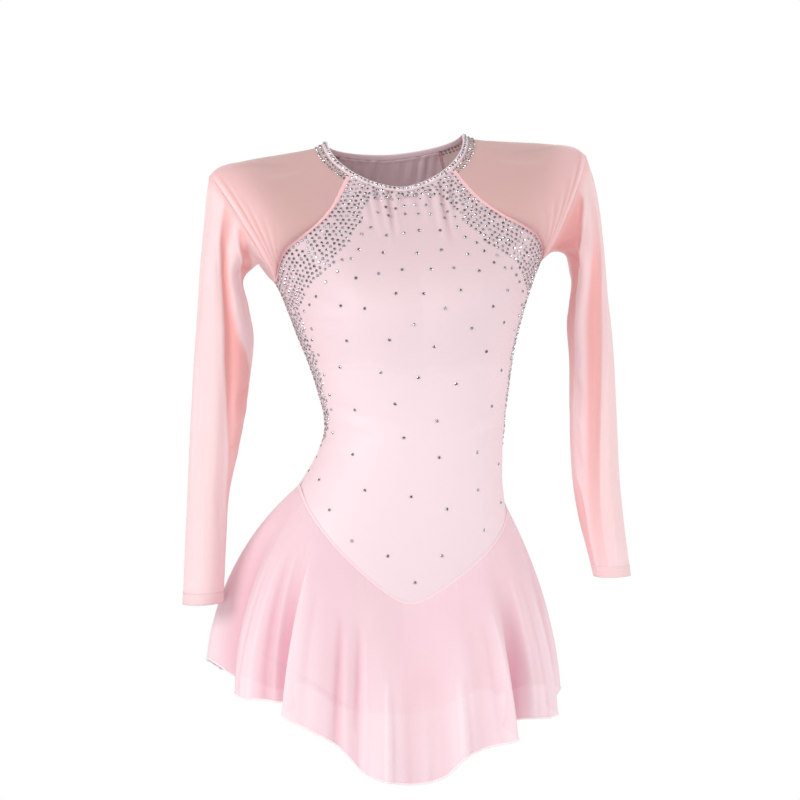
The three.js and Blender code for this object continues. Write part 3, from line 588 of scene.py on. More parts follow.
def neck_corner(backwards):
    """The neck's angle where a raglan seam reaches it."""
    return np.where(backwards, np.pi - RAGLAN_ANGLE, RAGLAN_ANGLE)


BACK_LIFT = RAGLAN["down"][-1] + neck_point(NECK_SEAM, np.pi - RAGLAN_ANGLE)[2]


def raglan_spot(along, backwards):
    """Angle and level of the raglan seam, from the armpit (0) to the neck (1)."""
    down = curve(RAGLAN, "down", along) - np.where(backwards, BACK_LIFT * along**2, 0)
    reach = np.minimum(1, curve(RAGLAN, "across", along) / curve(FIGURE, "half", down))
    angle = np.arcsin(reach ** (1 / SECTION_POWER))
    return np.where(backwards, np.pi - angle, angle), down


# %% The bodice grid
ARMPIT_ROW = 11 / 19  # share of the grid's rows that lie below the armpit


def bodice_edge(v, backwards):
    """The panel's side edge: the side seam, then the raglan seam. Also how near a row is to the neck."""
    low = v <= ARMPIT_ROW
    along = np.clip((v - ARMPIT_ROW) / (1 - ARMPIT_ROW), 0, 1)
    angle, down = raglan_spot(along, backwards)
    side = np.pi - QUARTER if backwards else QUARTER
    down = np.where(low, mix(SIDE_SEAM_DOWN, ARMPIT_DOWN, v / ARMPIT_ROW), down)
    return np.where(low, side, angle), down, ease(along)


def bodice_grid(u, v, backwards):
    """Each row spreads the figure's angles evenly between its two edges, and bends from the pointed shape of the
    waist seam into the shallow curve of the neck. Near the neck it leaves the figure for the neck seam."""
    angle, edge_down, near = bodice_edge(v, backwards)
    centre = np.pi if backwards else 0.0
    tip = BACK_POINT_DOWN if backwards else FRONT_POINT_DOWN
    dip = NECK_SEAM["back_down"] if backwards else NECK_SEAM["front_down"]

    def on_figure(v, angle, edge_down):
        shape = mix(waist_shape(np.abs(u)), u * u, ease(v))
        return figure_point(centre + u * np.abs(angle - centre), mix(mix(tip, dip, v), edge_down, shape))

    top_angle, top_down, _ = bodice_edge(np.ones_like(v), backwards)
    reach = neck_point(NECK_SEAM, centre + u * RAGLAN_ANGLE) - on_figure(np.ones_like(v), top_angle, top_down)
    return on_figure(v, angle, edge_down) + reach * near[..., None]


# %% Creases of the bodice
# Gathers hang from the neckline, shallow drags run from the bust to the side seams, and the cloth crumples a
# little at the waist. Across and level are on the upright figure, in millimetres.
NECK_GATHERS = table(
    "across level end_across end_level wide depth",
    (-56, 44, -50, 104, 3.2, 1.0), (-49, 48, -44, 96, 2.6, -0.9), (-43, 50, -38, 118, 3.0, 1.3),
    (-36, 53, -33, 92, 2.5, -1.1), (-30, 55, -27, 126, 3.4, 1.2), (-23, 57, -21, 98, 2.6, -0.9),
    (-16, 58, -15, 88, 3.0, 0.8), (-8, 59, -8, 80, 2.4, -0.7), (0, 60, -1, 84, 3.0, 0.6),
    (9, 60, 8, 90, 2.6, -0.8), (17, 59, 15, 104, 3.2, 0.9), (24, 57, 23, 92, 2.6, -1.0),
    (31, 55, 29, 122, 3.2, 1.3), (38, 52, 35, 98, 2.6, -1.1), (44, 50, 42, 116, 3.0, 1.2),
    (51, 46, 47, 96, 2.6, -0.9), (57, 43, 53, 108, 3.2, 1.0), (-15, 56, -19, 116, 3.0, 1.2),
    (-20, 56, -26, 124, 3.4, -1.5), (33, 54, 31, 126, 3.0, 1.1), (39, 54, 38, 132, 3.2, -1.5),
)
FRONT_DRAGS = table(
    "across level end_across end_level wide depth",
    (-140, 172, -72, 196, 7, -1.1), (-136, 190, -80, 206, 6, 0.8), (138, 168, 76, 190, 7, -1.0),
    (135, 188, 84, 200, 6, 0.8), (-104, 300, -52, 322, 6, -1.2), (-103, 318, -60, 332, 5, 1.0),
    (-106, 336, -48, 344, 6, -1.1), (-112, 356, -66, 352, 5, 0.8), (104, 306, 60, 322, 6, -1.0),
    (104, 326, 50, 336, 5, 0.9), (105, 344, 64, 350, 6, -0.9), (-60, 318, -12, 330, 7, -0.5),
    (58, 330, 14, 338, 7, -0.5), (-132, 404, -70, 420, 9, -0.8), (130, 402, 74, 424, 9, -0.8),
    (-46, 92, -84, 136, 6, 0.7), (48, 92, 86, 134, 6, 0.7),
)
BACK_DRAGS = table(
    "across level end_across end_level wide depth",
    (-136, 160, -62, 178, 8, -1.3), (-130, 182, -70, 190, 6, 0.9), (134, 158, 58, 182, 8, -1.3),
    (128, 178, 72, 192, 6, 0.9), (-104, 296, -30, 314, 7, -1.5), (-103, 314, -44, 330, 6, 1.2),
    (-106, 334, -22, 342, 7, -1.5), (-114, 356, -50, 350, 6, 1.0), (104, 300, 34, 318, 7, -1.4),
    (103, 320, 26, 332, 6, 1.2), (106, 342, 40, 346, 7, -1.3), (-30, 322, 24, 326, 8, -0.8),
    (-58, 70, -90, 128, 7, 1.0), (60, 68, 92, 126, 7, 1.0), (-20, 96, -16, 160, 9, -0.6), (16, 110, 22, 176, 9, -0.6),
)
LINING_DOWN = 262  # the lower edge of the bust lining, which shows as a faint ridge and a change of tone
SEAM_DIP = dict(deep=0.5, wide=3.0)  # cloth sinks a little beside every seam
GATHERS_BEHIND = 0.45  # the back is gathered less than the front
MIDDLE_OF_BODY = [0, 0, -260]
# How much deeper the jersey's colour is: over the lining, beside the sides, and on the chest in front and behind,
# where painted shade deepens it from one level upwards.
BODICE_SHADE = dict(lining=0.12, sides=0.1, front=0.6, back=0.15, from_down=250, over=150)


def lengths_of(grid, axis):
    """The cloth's length along each row (axis 1) or column (axis 0)."""
    return np.expand_dims(np.linalg.norm(np.diff(grid, axis=axis), axis=2).sum(axis), axis)


def seam_dip(*distances):
    """Cloth pulled in beside seams, in millimetres, from the distance to each of them."""
    return -SEAM_DIP["deep"] * np.maximum.reduce([bell(d, SEAM_DIP["wide"]) for d in distances])


def bodice_surface(backwards, columns=150, rows=200):
    """The panel's grid in its stance, its outward directions, and its masks."""
    u, v = np.meshgrid(np.linspace(-1, 1, columns + 1), np.linspace(0, 1, rows + 1))
    upright = bodice_grid(u, v, backwards)
    grid = stand(upright)
    x, level = upright[..., 0], -upright[..., 2]
    normals = grid_normals(grid, out_from=MIDDLE_OF_BODY)
    to_side = (1 - np.abs(u)) * lengths_of(grid, 1) / 2
    to_waist, to_neck = v * lengths_of(grid, 0), (1 - v) * lengths_of(grid, 0)
    relief = seam_dip(to_side, to_waist, to_neck)
    relief += crease_relief(x, level, BACK_DRAGS if backwards else FRONT_DRAGS)
    below_front_neck = level + backwards * (NECK_SEAM["front_down"] - NECK_SEAM["back_down"])
    gathers = crease_relief(x, below_front_neck, NECK_GATHERS) * (GATHERS_BEHIND if backwards else 1)
    relief += gathers
    pucker = uneven_wave(level * 1.3 + np.abs(x), 11, seed=1 + backwards)
    relief += 0.35 * pucker * bell(to_side, 7) * (v > ARMPIT_ROW)
    lining = LINING_DOWN + 5 * np.cos(np.pi * x / 90) + 2.5 * uneven_wave(x, 60, seed=4)
    relief += 0.45 * bell(level - lining, 2.2) * (1 - backwards)
    shade = BODICE_SHADE
    deep = shade["lining"] * ease((lining - level + 6) / 12) + shade["sides"] * bell(to_side, 8)
    # Painted shade: the upper chest darker from one level upwards, more in front than behind.
    deep += shade["back" if backwards else "front"] * ease((shade["from_down"] - level) / shade["over"])
    # Painted shade in the gathers' troughs, painted highlight on their ridges.
    deep += np.clip(-0.2 * gathers, -0.1, 0.35)
    return grid + normals * relief[..., None], normals, {"deep": deep}


# %% Front and back of the bodice
for name, backwards in (("bodice_front", False), ("bodice_back", True)):
    surface = bodice_surface(backwards)
    cloth_panel(name, "panel", surface, BODICE_JERSEY, thickness=JERSEY_THICKNESS)
    panels[name]["facing"] = grid_normals(surface[0], out_from=MIDDLE_OF_BODY)  # with the creases, for the stones

# %% [markdown]
# ## The neck band
#
# The band is a strip of jersey folded over an elastic and sewn round the neck. A rounded flat section is carried
# round the opening. It is a closed surface in both directions, so it needs no caps, and the elastic shows as an
# uneven ripple.

# %% Neck band
BAND_THICKNESS = 2.0


def neck_frame(angle):
    """The band's seam and free edge at an angle, and the direction that the band faces."""
    seam, edge = stand(neck_point(NECK_SEAM, angle)), stand(neck_point(NECK_EDGE, angle))
    around = stand(neck_point(NECK_SEAM, angle + 0.01)) - stand(neck_point(NECK_SEAM, angle - 0.01))
    return seam, edge, unit(np.cross(around, edge - seam))


def band_surface(turns=300, sides=24):
    """A superellipse section, as wide as the band and as thick as its two layers, at each angle of the neck."""
    angle, side = np.meshgrid(
        np.linspace(0, 2 * np.pi, turns, endpoint=False), np.linspace(0, 2 * np.pi, sides, endpoint=False)
    )
    seam, edge, facing = neck_frame(angle)
    wide = (1 + signed_power(np.cos(side), 0.5)) / 2
    tall = signed_power(np.sin(side), 0.7)
    ripple = 0.22 * uneven_wave(angle * 75, 13, seed=2) * np.maximum(tall, 0)
    middle = -BAND_THICKNESS / 2
    height = middle + tall * (BAND_THICKNESS / 2 + 0.35 * np.maximum(tall, 0)) + ripple
    ring = mix(seam, edge, wide[..., None]) + facing * height[..., None]
    centre = mix(seam, edge, 0.5) + facing * middle
    return ring, unit(ring - centre)


ring, ring_facing = band_surface()
neck_band = grid_mesh("neck_band_fold", ring, ring_facing, {"deep": 0.25}, round_u=True, round_v=True)
dress_in(neck_band, BODICE_JERSEY)
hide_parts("neck_band")
print("neck band", len(neck_band.data.polygons), "faces")

# %% [markdown]
# ## The sleeves
#
# A raglan sleeve is one piece from the neck to the cuff. Its upper part, the yoke, is stretched between four
# curves: the neck seam, the two raglan seams and the armhole, and it also has to pass over the top of the
# shoulder. A blend of the curves does that. Below the armhole the sleeve is a tube that hangs empty. Its long
# creases drift round it on the way down, and the mesh lies double in them; their deeper colour is partly that
# and partly painted shade.

# %% Tables for the sleeves
SHOULDER = table(
    "along across down",
    (0, 84.5, -1.5), (0.06, 93, 3), (0.27, 126, 7.5), (0.62, 172, 12.5), (0.88, 205, 19.5), (1, 218.5, 28.5),
)
ARMHOLE = dict(front=42, back=46)
SLEEVE_RIGHT = table(
    "in_x in_down out_x out_down deep mid",
    (-155, 144, -217.5, 70, 43, 0), (-166, 148, -220, 95, 42, 0), (-177, 163, -225, 138, 41, 0),
    (-171, 190, -228, 184, 41, 0), (-165.5, 224, -230.5, 222, 41, -1), (-168.5, 265, -233.5, 266, 40, -2),
    (-176, 320, -236.5, 321, 38, -4), (-184, 360, -238.5, 362, 36, -6), (-193.5, 405, -240.5, 407, 33, -11),
    (-197, 456, -243, 458, 31, -18), (-200.5, 524, -246, 526, 29, -26),
)
SLEEVE_LEFT = table(
    "in_x in_down out_x out_down deep mid",
    (182, 126, 230, 42, 43, 0), (200.5, 131, 235.5, 72, 42, 0), (206.5, 158, 242, 126, 41, 0),
    (203, 187, 246.5, 178, 41, 0), (200, 212, 249.5, 209, 41, -1), (202.5, 255, 252.5, 256, 40, -2),
    (202, 321, 255.5, 322, 38, -4), (204.5, 385, 258.5, 386, 36, -6), (210.5, 430, 262.5, 431, 34, -9),
    (219.5, 468, 266, 467, 32, -13), (227.5, 502, 269.5, 500, 29, -18),
)
# Around is 0 at the underarm, 0.25 in front, 0.5 outside and 0.75 behind. Start and end run from 0 at the
# armhole to 1 at the cuff. Depth is a share of the sleeve's half width, and shade deepens the colour of the
# crease on the sleeve's back half: painted shade, where the mesh also lies double.
CREASES_RIGHT = table(
    "top bottom wide start end depth shade",
    (0.265, 0.09, 0.05, -0.05, 0.95, 0.22, 0.75), (0.13, 0.05, 0.04, 0.02, 0.6, 0.14, 0.6),
    (0.7, 0.78, 0.06, 0.02, 0.8, 0.18, 0.6), (0.9, 0.86, 0.05, 0.2, 1.02, 0.12, 0.5),
)
CREASES_LEFT = table(
    "top bottom wide start end depth shade",
    (0.36, 0.15, 0.05, -0.05, 0.92, 0.2, 0.75), (0.05, 0.09, 0.045, 0.12, 0.85, 0.15, 0.6),
    (0.66, 0.76, 0.06, 0.0, 0.85, 0.18, 0.6), (0.88, 0.92, 0.05, 0.25, 1.02, 0.12, 0.5),
)


# %% Shaded strips of the sleeves
# Between two of its long folds the mesh lies double and in its own shade, with a crisp edge on the outer side.
# The strip's deeper colour is partly the double mesh and partly painted shade.
# Outer and inner are the strip's two edges round the sleeve, at each share of the way down.
BANDS_RIGHT = [
    table(
        "share outer inner shade",
        (0, 0.34, 0.31, 0.35), (0.1, 0.33, 0.285, 0.6), (0.2, 0.312, 0.265, 0.85), (0.27, 0.268, 0.212, 0.9),
        (0.37, 0.262, 0.205, 0.9), (0.41, 0.262, 0.195, 0.9), (0.475, 0.257, 0.16, 0.9), (0.54, 0.242, 0.06, 0.85),
        (0.63, 0.19, -0.02, 0.75), (0.76, 0.12, -0.06, 0.5), (0.87, 0.062, -0.08, 0.35), (1, 0.05, -0.1, 0.2),
    ),
    table(
        "share outer inner shade",
        (0, 0.26, 0.2, 0.3), (0.1, 0.235, 0.17, 0.55), (0.17, 0.19, 0.08, 0.8), (0.22, 0.12, 0, 0.8),
        (0.27, 0.07, -0.06, 0.75), (0.4, 0.045, -0.1, 0.6), (0.5, 0, -0.12, 0.4), (0.6, -0.04, -0.15, 0.3),
        (1, -0.05, -0.16, 0.2),
    ),
]
BANDS_LEFT = [
    table(
        "share outer inner shade",
        (0, 0.4, 0.38, 0), (0.18, 0.37, 0.26, 0.3), (0.27, 0.352, 0.2, 0.7), (0.33, 0.335, 0.185, 0.8),
        (0.47, 0.31, 0.175, 0.8), (0.54, 0.287, 0.165, 0.78), (0.64, 0.262, 0.16, 0.7), (0.74, 0.232, 0.145, 0.55),
        (0.86, 0.2, 0.12, 0.3), (1, 0.18, 0.1, 0.1),
    ),
    table(
        "share outer inner shade",
        (0, 0.3, 0.1, 0.55), (0.06, 0.295, 0.06, 0.85), (0.13, 0.215, 0.02, 0.9), (0.21, 0.115, -0.02, 0.85),
        (0.3, 0.05, -0.05, 0.75), (0.42, 0.06, -0.05, 0.65), (0.51, 0.045, -0.06, 0.5), (0.6, 0.03, -0.07, 0.25),
        (0.7, 0.035, -0.08, 0.2), (0.8, 0.09, -0.08, 0.55), (0.9, 0.07, -0.1, 0.5), (1, 0.06, -0.1, 0.3),
    ),
]


def shaded_strips(bands, around, share):
    """The mask of the strips, partly double mesh and partly painted shade, and their relief: a lip along the crisp
    edge with a trough beside it.
    """
    spot = np.where(around > 0.75, around - 1, around)
    mask, relief = np.zeros_like(spot), np.zeros_like(spot)
    for band in bands:
        outer, inner, shade = (curve(band, name, share) for name in ("outer", "inner", "shade"))
        inside = ease((outer - spot) / 0.016 + 0.5) * ease((spot - inner) / 0.05 + 0.5)
        mask = np.maximum(mask, shade * inside)
        relief += shade * (1.2 * bell(spot - outer - 0.014, 0.013) - 1.5 * bell(spot - outer + 0.02, 0.02))
    return mask, relief


# %% The yoke and the armhole
def sided(points, side):
    """Upright points for the wearer's left (1) or right (-1), put into the stance."""
    return stand(points * np.array([side, 1, 1]))


def raglan_point(side, along, backwards):
    """A point of the raglan seam, the same as on the bodice panels."""
    angle, down = raglan_spot(along, backwards)
    end_angle, end_down = raglan_spot(np.ones_like(along), backwards)
    reach = neck_point(NECK_SEAM, side * neck_corner(backwards)) - figure_point(side * end_angle, end_down)
    return stand(figure_point(side * angle, down) + reach * ease(along)[..., None])


def shoulder_point(side, out):
    """The top of the shoulder, from the neck (0) to the corner where the sleeve drops (1)."""
    across = curve(SHOULDER, "across", out) + side * NECK_ASIDE * (1 - out)
    return sided(np.stack([across, 0 * across, -curve(SHOULDER, "down", out)], -1), side)


def armhole(side, around):
    """A closed loop from the armpit, round the front and over the shoulder corner: half the chord by the cosine,
    and the armhole's depth by the sine."""
    armpit = sided(figure_point(np.array(QUARTER), np.array(float(ARMPIT_DOWN))), side)
    corner = shoulder_point(side, np.array(1.0))
    turn = 2 * np.pi * around
    depth = np.where(np.sin(turn) > 0, ARMHOLE["front"], ARMHOLE["back"])
    loop = (armpit + corner) / 2 + (armpit - corner) * (np.cos(turn) / 2)[..., None]
    return loop - np.stack([0 * turn, depth * np.sin(turn), 0 * turn], -1)


def yoke_grid(side, out, around):
    """The two blends, neck to armhole and seam to shoulder top, less the blend of their common corners."""
    backwards = around > 0.5
    share = np.where(backwards, 2 - 2 * around, 2 * around)
    along, over = ease(out)[..., None], ease(share)[..., None]

    def neck(t):
        return stand(neck_point(NECK_SEAM, side * mix(RAGLAN_ANGLE, np.pi - RAGLAN_ANGLE, t)))

    seam_end = np.where(backwards, 1.0, 0.0)
    half = np.full_like(around, 0.5)
    lengthwise = mix(neck(around), armhole(side, around), along)
    crosswise = mix(raglan_point(side, 1 - out, backwards), shoulder_point(side, out), over)
    corners = mix(mix(neck(seam_end), neck(half), over), mix(armhole(side, 0 * half), armhole(side, half), over), along)
    return lengthwise + crosswise - corners


# %% The hanging tube
def crease_sum(creases, around, share, column):
    """The creases' bells at each spot, weighted by one of the table's columns."""
    total = np.zeros_like(around)
    for k in range(len(creases["top"])):
        start, end = creases["start"][k], creases["end"][k]
        within = np.maximum(0, 1 - ((share - (start + end) / 2) / ((end - start) / 2)) ** 2)
        aside = np.abs(around - mix(creases["top"][k], creases["bottom"][k], share**2))
        aside = np.minimum(aside, 1 - aside)
        total += creases[column][k] * bell(aside, creases["wide"][k]) * within
    return total


def sleeve_sections(side, rows):
    """The sleeve's table with a first row at the armhole, read by section number."""
    armpit, corner = armhole(side, np.array(0.0)), armhole(side, np.array(0.5))
    first = dict(
        in_x=armpit[0], in_down=-armpit[2], out_x=corner[0], out_down=-corner[2],
        deep=(ARMHOLE["front"] + ARMHOLE["back"]) / 2, mid=0,
    )
    joined = {"section": np.arange(len(rows["in_x"]) + 1.0)}
    return joined | {name: np.concatenate([[first[name]], rows[name]]) for name in rows}


def tube_grid(side, rows, creases, share, around):
    """An ellipse at each section: its edges and depth by the table, drawn in along the creases."""
    sections = sleeve_sections(side, rows)
    k = share * len(rows["in_x"])
    level = {name: curve(sections, name, k) for name in rows}
    inner = np.stack([level["in_x"], level["mid"], -level["in_down"]], -1)
    outer = np.stack([level["out_x"], level["mid"], -level["out_down"]], -1)
    turn = 2 * np.pi * around
    tuck = 1 - crease_sum(creases, around, share, "depth")
    ring = (inner + outer) / 2 + (inner - outer) * (np.cos(turn) / 2 * tuck)[..., None]
    return ring - np.stack([0 * turn, level["deep"] * np.sin(turn) * tuck, 0 * turn], -1)


# %% Fine creases of the sleeves
# On the yoke, across is the place round it and along the way out from the neck; below, they are the place round
# the tube and the way down it. All are shares, drawn with their widths in the same unit.
YOKE_CREASES = table(
    "around out end_around end_out wide depth",
    (0.035, 0.99, 0.47, 0.975, 0.016, 2.0), (0.04, 0.965, 0.42, 0.935, 0.010, -1.1),
    (0.045, 0.948, 0.37, 0.90, 0.009, 1.2),
    (0.05, 0.93, 0.31, 0.865, 0.008, -0.8), (0.05, 0.912, 0.27, 0.83, 0.009, 1.0),
    (0.055, 0.892, 0.23, 0.79, 0.008, -0.6),
    (0.06, 0.868, 0.21, 0.75, 0.010, 0.7), (0.06, 0.838, 0.18, 0.70, 0.010, -0.4),
    (0.965, 0.99, 0.55, 0.96, 0.018, 2.0),
    (0.96, 0.955, 0.6, 0.915, 0.012, -1.1), (0.955, 0.93, 0.66, 0.87, 0.010, 1.1),
    (0.95, 0.905, 0.7, 0.83, 0.010, -0.8),
    (0.945, 0.87, 0.74, 0.77, 0.012, 0.8), (0.5, 0.72, 0.5, 1.0, 0.02, 1.2), (0.36, 0.30, 0.44, 0.80, 0.016, -0.5),
    (0.30, 0.22, 0.33, 0.62, 0.016, 0.4), (0.64, 0.32, 0.58, 0.78, 0.016, -0.5),
)
TUBE_CREASES = table(
    "around share end_around end_share wide depth",
    (0.02, 0.07, 0.17, 0.17, 0.013, -1.4), (0.01, 0.11, 0.15, 0.22, 0.012, 1.4),
    (0.01, 0.15, 0.13, 0.27, 0.012, -1.2),
    (0.98, 0.10, 0.82, 0.24, 0.016, -1.6), (0.99, 0.17, 0.84, 0.31, 0.014, 1.4),
    (0.02, 0.56, 0.15, 0.61, 0.012, -1.2),
    (0.01, 0.61, 0.13, 0.655, 0.011, 1.2), (0.02, 0.665, 0.14, 0.72, 0.012, -1.1),
    (0.01, 0.72, 0.1, 0.75, 0.011, 0.8),
    (0.98, 0.62, 0.86, 0.69, 0.014, -1.2), (0.41, 0.12, 0.46, 0.52, 0.020, -0.9),
    (0.45, 0.42, 0.41, 0.86, 0.020, 0.8),
    (0.36, 0.5, 0.30, 0.92, 0.018, -0.7), (0.55, 0.28, 0.60, 0.74, 0.022, -1.3), (0.33, 0.74, 0.26, 0.97, 0.016, 0.7),
    (0.18, 0.80, 0.10, 0.98, 0.014, -0.8), (0.62, 0.80, 0.66, 0.98, 0.020, -0.9),
    (0.80, 0.76, 0.84, 0.97, 0.018, 0.9),
    (0.5, -0.02, 0.5, 0.24, 0.016, 1.4), (0.46, 0.02, 0.43, 0.2, 0.016, -0.7), (0.15, 0.16, 0.11, 0.58, 0.03, 3.0),
)


YOKE_ROUND, YOKE_LONG = 260, 150  # the yoke's girth at the neck and its length to the armhole, roughly


def sleeve_surface(side, rows, creases, bands, columns=180, yoke_rows=120, tube_rows=290):
    """The yoke's rows and the tube's rows in one grid, with fine creases. One mask greys the yoke, most near the
    neck: painted shade of the darker inside seen through the mesh. The other mask paints shade in folds and
    strips, where the mesh also lies double."""
    around_line = np.linspace(0, 1, columns + 1)
    around, out = np.meshgrid(around_line, np.linspace(0, 1, yoke_rows + 1)[:-1])
    yoke = yoke_grid(side, out, around)
    spread, share = np.meshgrid(around_line, np.linspace(0, 1, tube_rows + 1))
    spread = np.where(spread == 1, 0, spread)  # the last column lies on the first
    tube = tube_grid(side, rows, creases, share, spread)
    tube[0] = armhole(side, spread[0])
    grid = np.concatenate([yoke, tube])
    normals = grid_normals(grid) * -side
    wrapped = np.cross(grid[:, 1] - grid[:, -2], np.gradient(grid, axis=0)[:, 0])  # where the tube's ends meet
    normals[len(yoke):, 0] = normals[len(yoke):, -1] = (unit(wrapped) * -side)[len(yoke):]
    edge = np.minimum(around, 1 - around) * YOKE_ROUND * np.maximum(1 - out, 0.02)
    fine, fine_tube = crease_relief(around, out, YOKE_CREASES), crease_relief(spread, share, TUBE_CREASES)
    from_neck = out * YOKE_LONG
    relief_yoke = fine + seam_dip(edge, from_neck) + 0.3 * uneven_wave(from_neck, 10, seed=5) * bell(edge, 8)
    strips, strip_relief = shaded_strips(bands, spread, share)
    relief_tube = (fine_tube + strip_relief) * ease(share * 14)
    # The yoke is deeper all over, painted shade of the inside seen through it; painted shade in crease troughs and
    # painted highlight on their ridges; and a little deeper beside its seams.
    yoke_painted_shade = 0.45 - np.clip(0.28 * fine, -0.3, 0.45) + 0.1 * bell(edge, 6)
    # Painted shade: greyer near the neck, for the darker inside seen through the mesh; less grey on crease ridges and
    # greyer in their troughs.
    painted_inside_shade = 0.8 * (1 - ease((out - 0.42) / 0.5)) + 0.25 * ease((out - 0.4) / 0.3) * (1 - ease((out - 0.9) / 0.1))
    painted_inside_shade = np.concatenate([painted_inside_shade - np.clip(0.2 * fine, -0.25, 0.4), 0 * share])
    # Painted shade in the long creases on the back half and in the strips, where the mesh also lies double; fine
    # creases are painted darker in their troughs and lighter on their ridges.
    behind = crease_sum(creases, spread, share, "shade") * ease((spread - 0.5) / 0.1)
    tube_shade_painted_and_double = 0.06 + np.maximum(strips, behind) - np.clip(0.1 * fine_tube, -0.15, 0.15)
    tube_shade_painted_and_double = mix(0.5, tube_shade_painted_and_double, ease(share / 0.06))  # the yoke's shade goes on a little below the armhole
    relief = np.concatenate([relief_yoke, relief_tube])
    deep = np.clip(np.concatenate([yoke_painted_shade, tube_shade_painted_and_double]), 0, 1)
    return grid + normals * relief[..., None], normals, {"deep": deep, "painted_inside_shade": np.clip(painted_inside_shade, 0, 1)}


# %% Both sleeves
SLEEVES = ("sleeve_right", "sleeve_left")
right = sleeve_surface(-1, SLEEVE_RIGHT, CREASES_RIGHT, BANDS_RIGHT)
left = sleeve_surface(1, SLEEVE_LEFT, CREASES_LEFT, BANDS_LEFT)
for name, surface in zip(SLEEVES, (right, left)):
    cloth_panel(name, "cloth", surface, SLEEVE_MESH, tube=True)

# %% [markdown]
# ## The skirt
#
# The skirt is most of a circle of mesh, sewn to the waist seam by its inner edge. It springs out from the seam,
# then hangs in folds that deepen towards the hem. Each line of cloth from the seam to the hem keeps its cut
# length, so the farther a fold stands out, the higher its hem is. A cloth simulation gives such folds too, but
# not these ones, and they belong to this dress.

# %% Tables for the skirt
FLARE = table(
    "at length out",
    (-90, 224, 92), (-82, 227, 88), (-74, 236, 84), (-66, 231, 81), (-60, 221, 79), (-52, 209, 74), (-46, 209, 71),
    (-40, 210, 67), (-30, 209, 62), (-23, 210, 59), (-18, 216, 57), (-12, 213, 55), (0, 196, 52), (7, 196, 52),
    (12, 189, 53), (20, 191, 54), (29, 201, 55), (36, 195, 54), (44, 200, 54), (56, 219, 52), (75, 225, 56),
    (90, 222, 57), (135, 231, 72), (180, 214, 80), (225, 233, 90), (248, 232, 94),
)
FOLDS = table(
    "at out lean",
    (-90, 8, 0), (-80, -13, 5), (-70, 7, 5), (-62, -3, 2), (-50, -23, 5), (-42, 10, -13), (-32, -1, 0),
    (-21, -4, 0), (-11, 6, 0), (2, -4, 0), (13, 6, 0), (20, -2, 1), (29, 12, 5), (39, -27, -9), (50, 3, -3),
    (61, 9, -4), (72, -11, 0), (83, 7, 0), (97, -15, 3), (112, 12, 4), (126, -17, 0), (141, 13, -5), (155, -18, 0),
    (170, 12, 5), (184, -17, 0), (199, 13, -4), (214, -18, 0), (229, 12, 5), (243, -16, 0), (257, 6, 0),
)
FLARE_BEND = 1.8
FOLD_BEND = 1.25
# Sharper creases between the folds: at which angle each starts and ends, and how far down the cloth.
SKIRT_CREASES = table(
    "at down end_at end_down wide out",
    (-9, 0.48, -10.5, 1.4, 3.6, 2.8), (-7.4, 0.5, -8.4, 1.4, 4.0, -1.4), (12, 0.55, 13, 1.4, 3.6, 2.6),
    (14.5, 0.55, 15.8, 1.4, 5.0, -2.0), (-27, 0.32, -29, 1.35, 6.0, -3.2), (-24, 0.36, -25, 1.3, 5.0, 1.6),
    (-19, 0.28, -20.5, 0.85, 5.0, -2.0), (-16.5, 0.3, -17.5, 1.1, 4.6, 1.2), (-2.5, 0.42, -3.5, 1.35, 6.5, -1.1),
    (2, 0.5, 1, 1.35, 7.0, 0.8), (7, 0.5, 7.5, 1.35, 7.0, -0.9), (24, 0.28, 25, 1.35, 5.0, -1.9),
    (28, 0.26, 29.5, 1.3, 4.6, 1.9), (-38, 0.3, -37, 1.3, 5.0, -1.4), (-45, 0.2, -44, 1.35, 5.0, 3.4),
    (-55, 0.2, -56.5, 1.35, 4.4, 2.4),
    (-58.5, 0.25, -60, 1.35, 4.2, -2.2), (-62.5, 0.25, -64, 1.35, 4.4, 1.8), (-68, 0.35, -70, 1.35, 5.0, -2.2),
    (-75, 0.4, -76, 1.3, 4.6, 1.6), (46, 0.22, 48, 1.35, 4.4, 2.2), (52, 0.26, 54, 1.35, 5.0, -1.8),
    (58, 0.3, 60, 1.35, 4.4, 2.0), (64, 0.32, 66, 1.35, 4.6, -1.8), (78, 0.3, 79, 1.3, 4.6, 1.8),
    (89, 0.26, 91, 1.35, 5.0, -2.0), (104, 0.3, 103, 1.35, 4.6, 2.2), (118, 0.22, 120, 1.3, 5.0, -1.8),
    (134, 0.34, 133, 1.35, 4.6, 2.0), (148, 0.3, 149, 1.35, 5.4, -2.2), (163, 0.4, 162, 1.35, 4.4, 2.4),
    (177, 0.3, 178, 1.3, 5.0, -1.8), (191, 0.36, 192, 1.35, 4.6, 2.2), (206, 0.26, 205, 1.35, 5.4, -2.2),
    (221, 0.32, 222, 1.3, 4.6, 1.8), (236, 0.3, 235, 1.35, 5.0, -2.0), (250, 0.36, 251, 1.35, 4.6, 2.2),
    (262, 0.3, 263, 1.3, 5.0, -1.6),
)
# The table in millimetres: of cloth to a degree, and in the skirt's whole length.
CREASE_SCALES = dict(at=4.0, end_at=4.0, down=215.0, end_down=215.0)
SKIRT_CREASES_MM = {name: column * CREASE_SCALES.get(name, 1) for name, column in SKIRT_CREASES.items()}
LIT_EDGE = dict(at=-44.5, wide=2.5, lighter=0.35)  # the ridge beside the deepest fold catches the light


# %% The skirt's surface
def skirt_reach(degrees, v):
    """How far the cloth stands out: the flare opens quickly and then hangs, and the folds deepen downwards."""
    base, ridge = curve(FLARE, "out", degrees, 360), curve(FOLDS, "out", degrees, 360)
    return base * (1 - (1 - v) ** FLARE_BEND) + ridge * v**FOLD_BEND


HEM_TO_A_DEGREE = 4.4  # millimetres


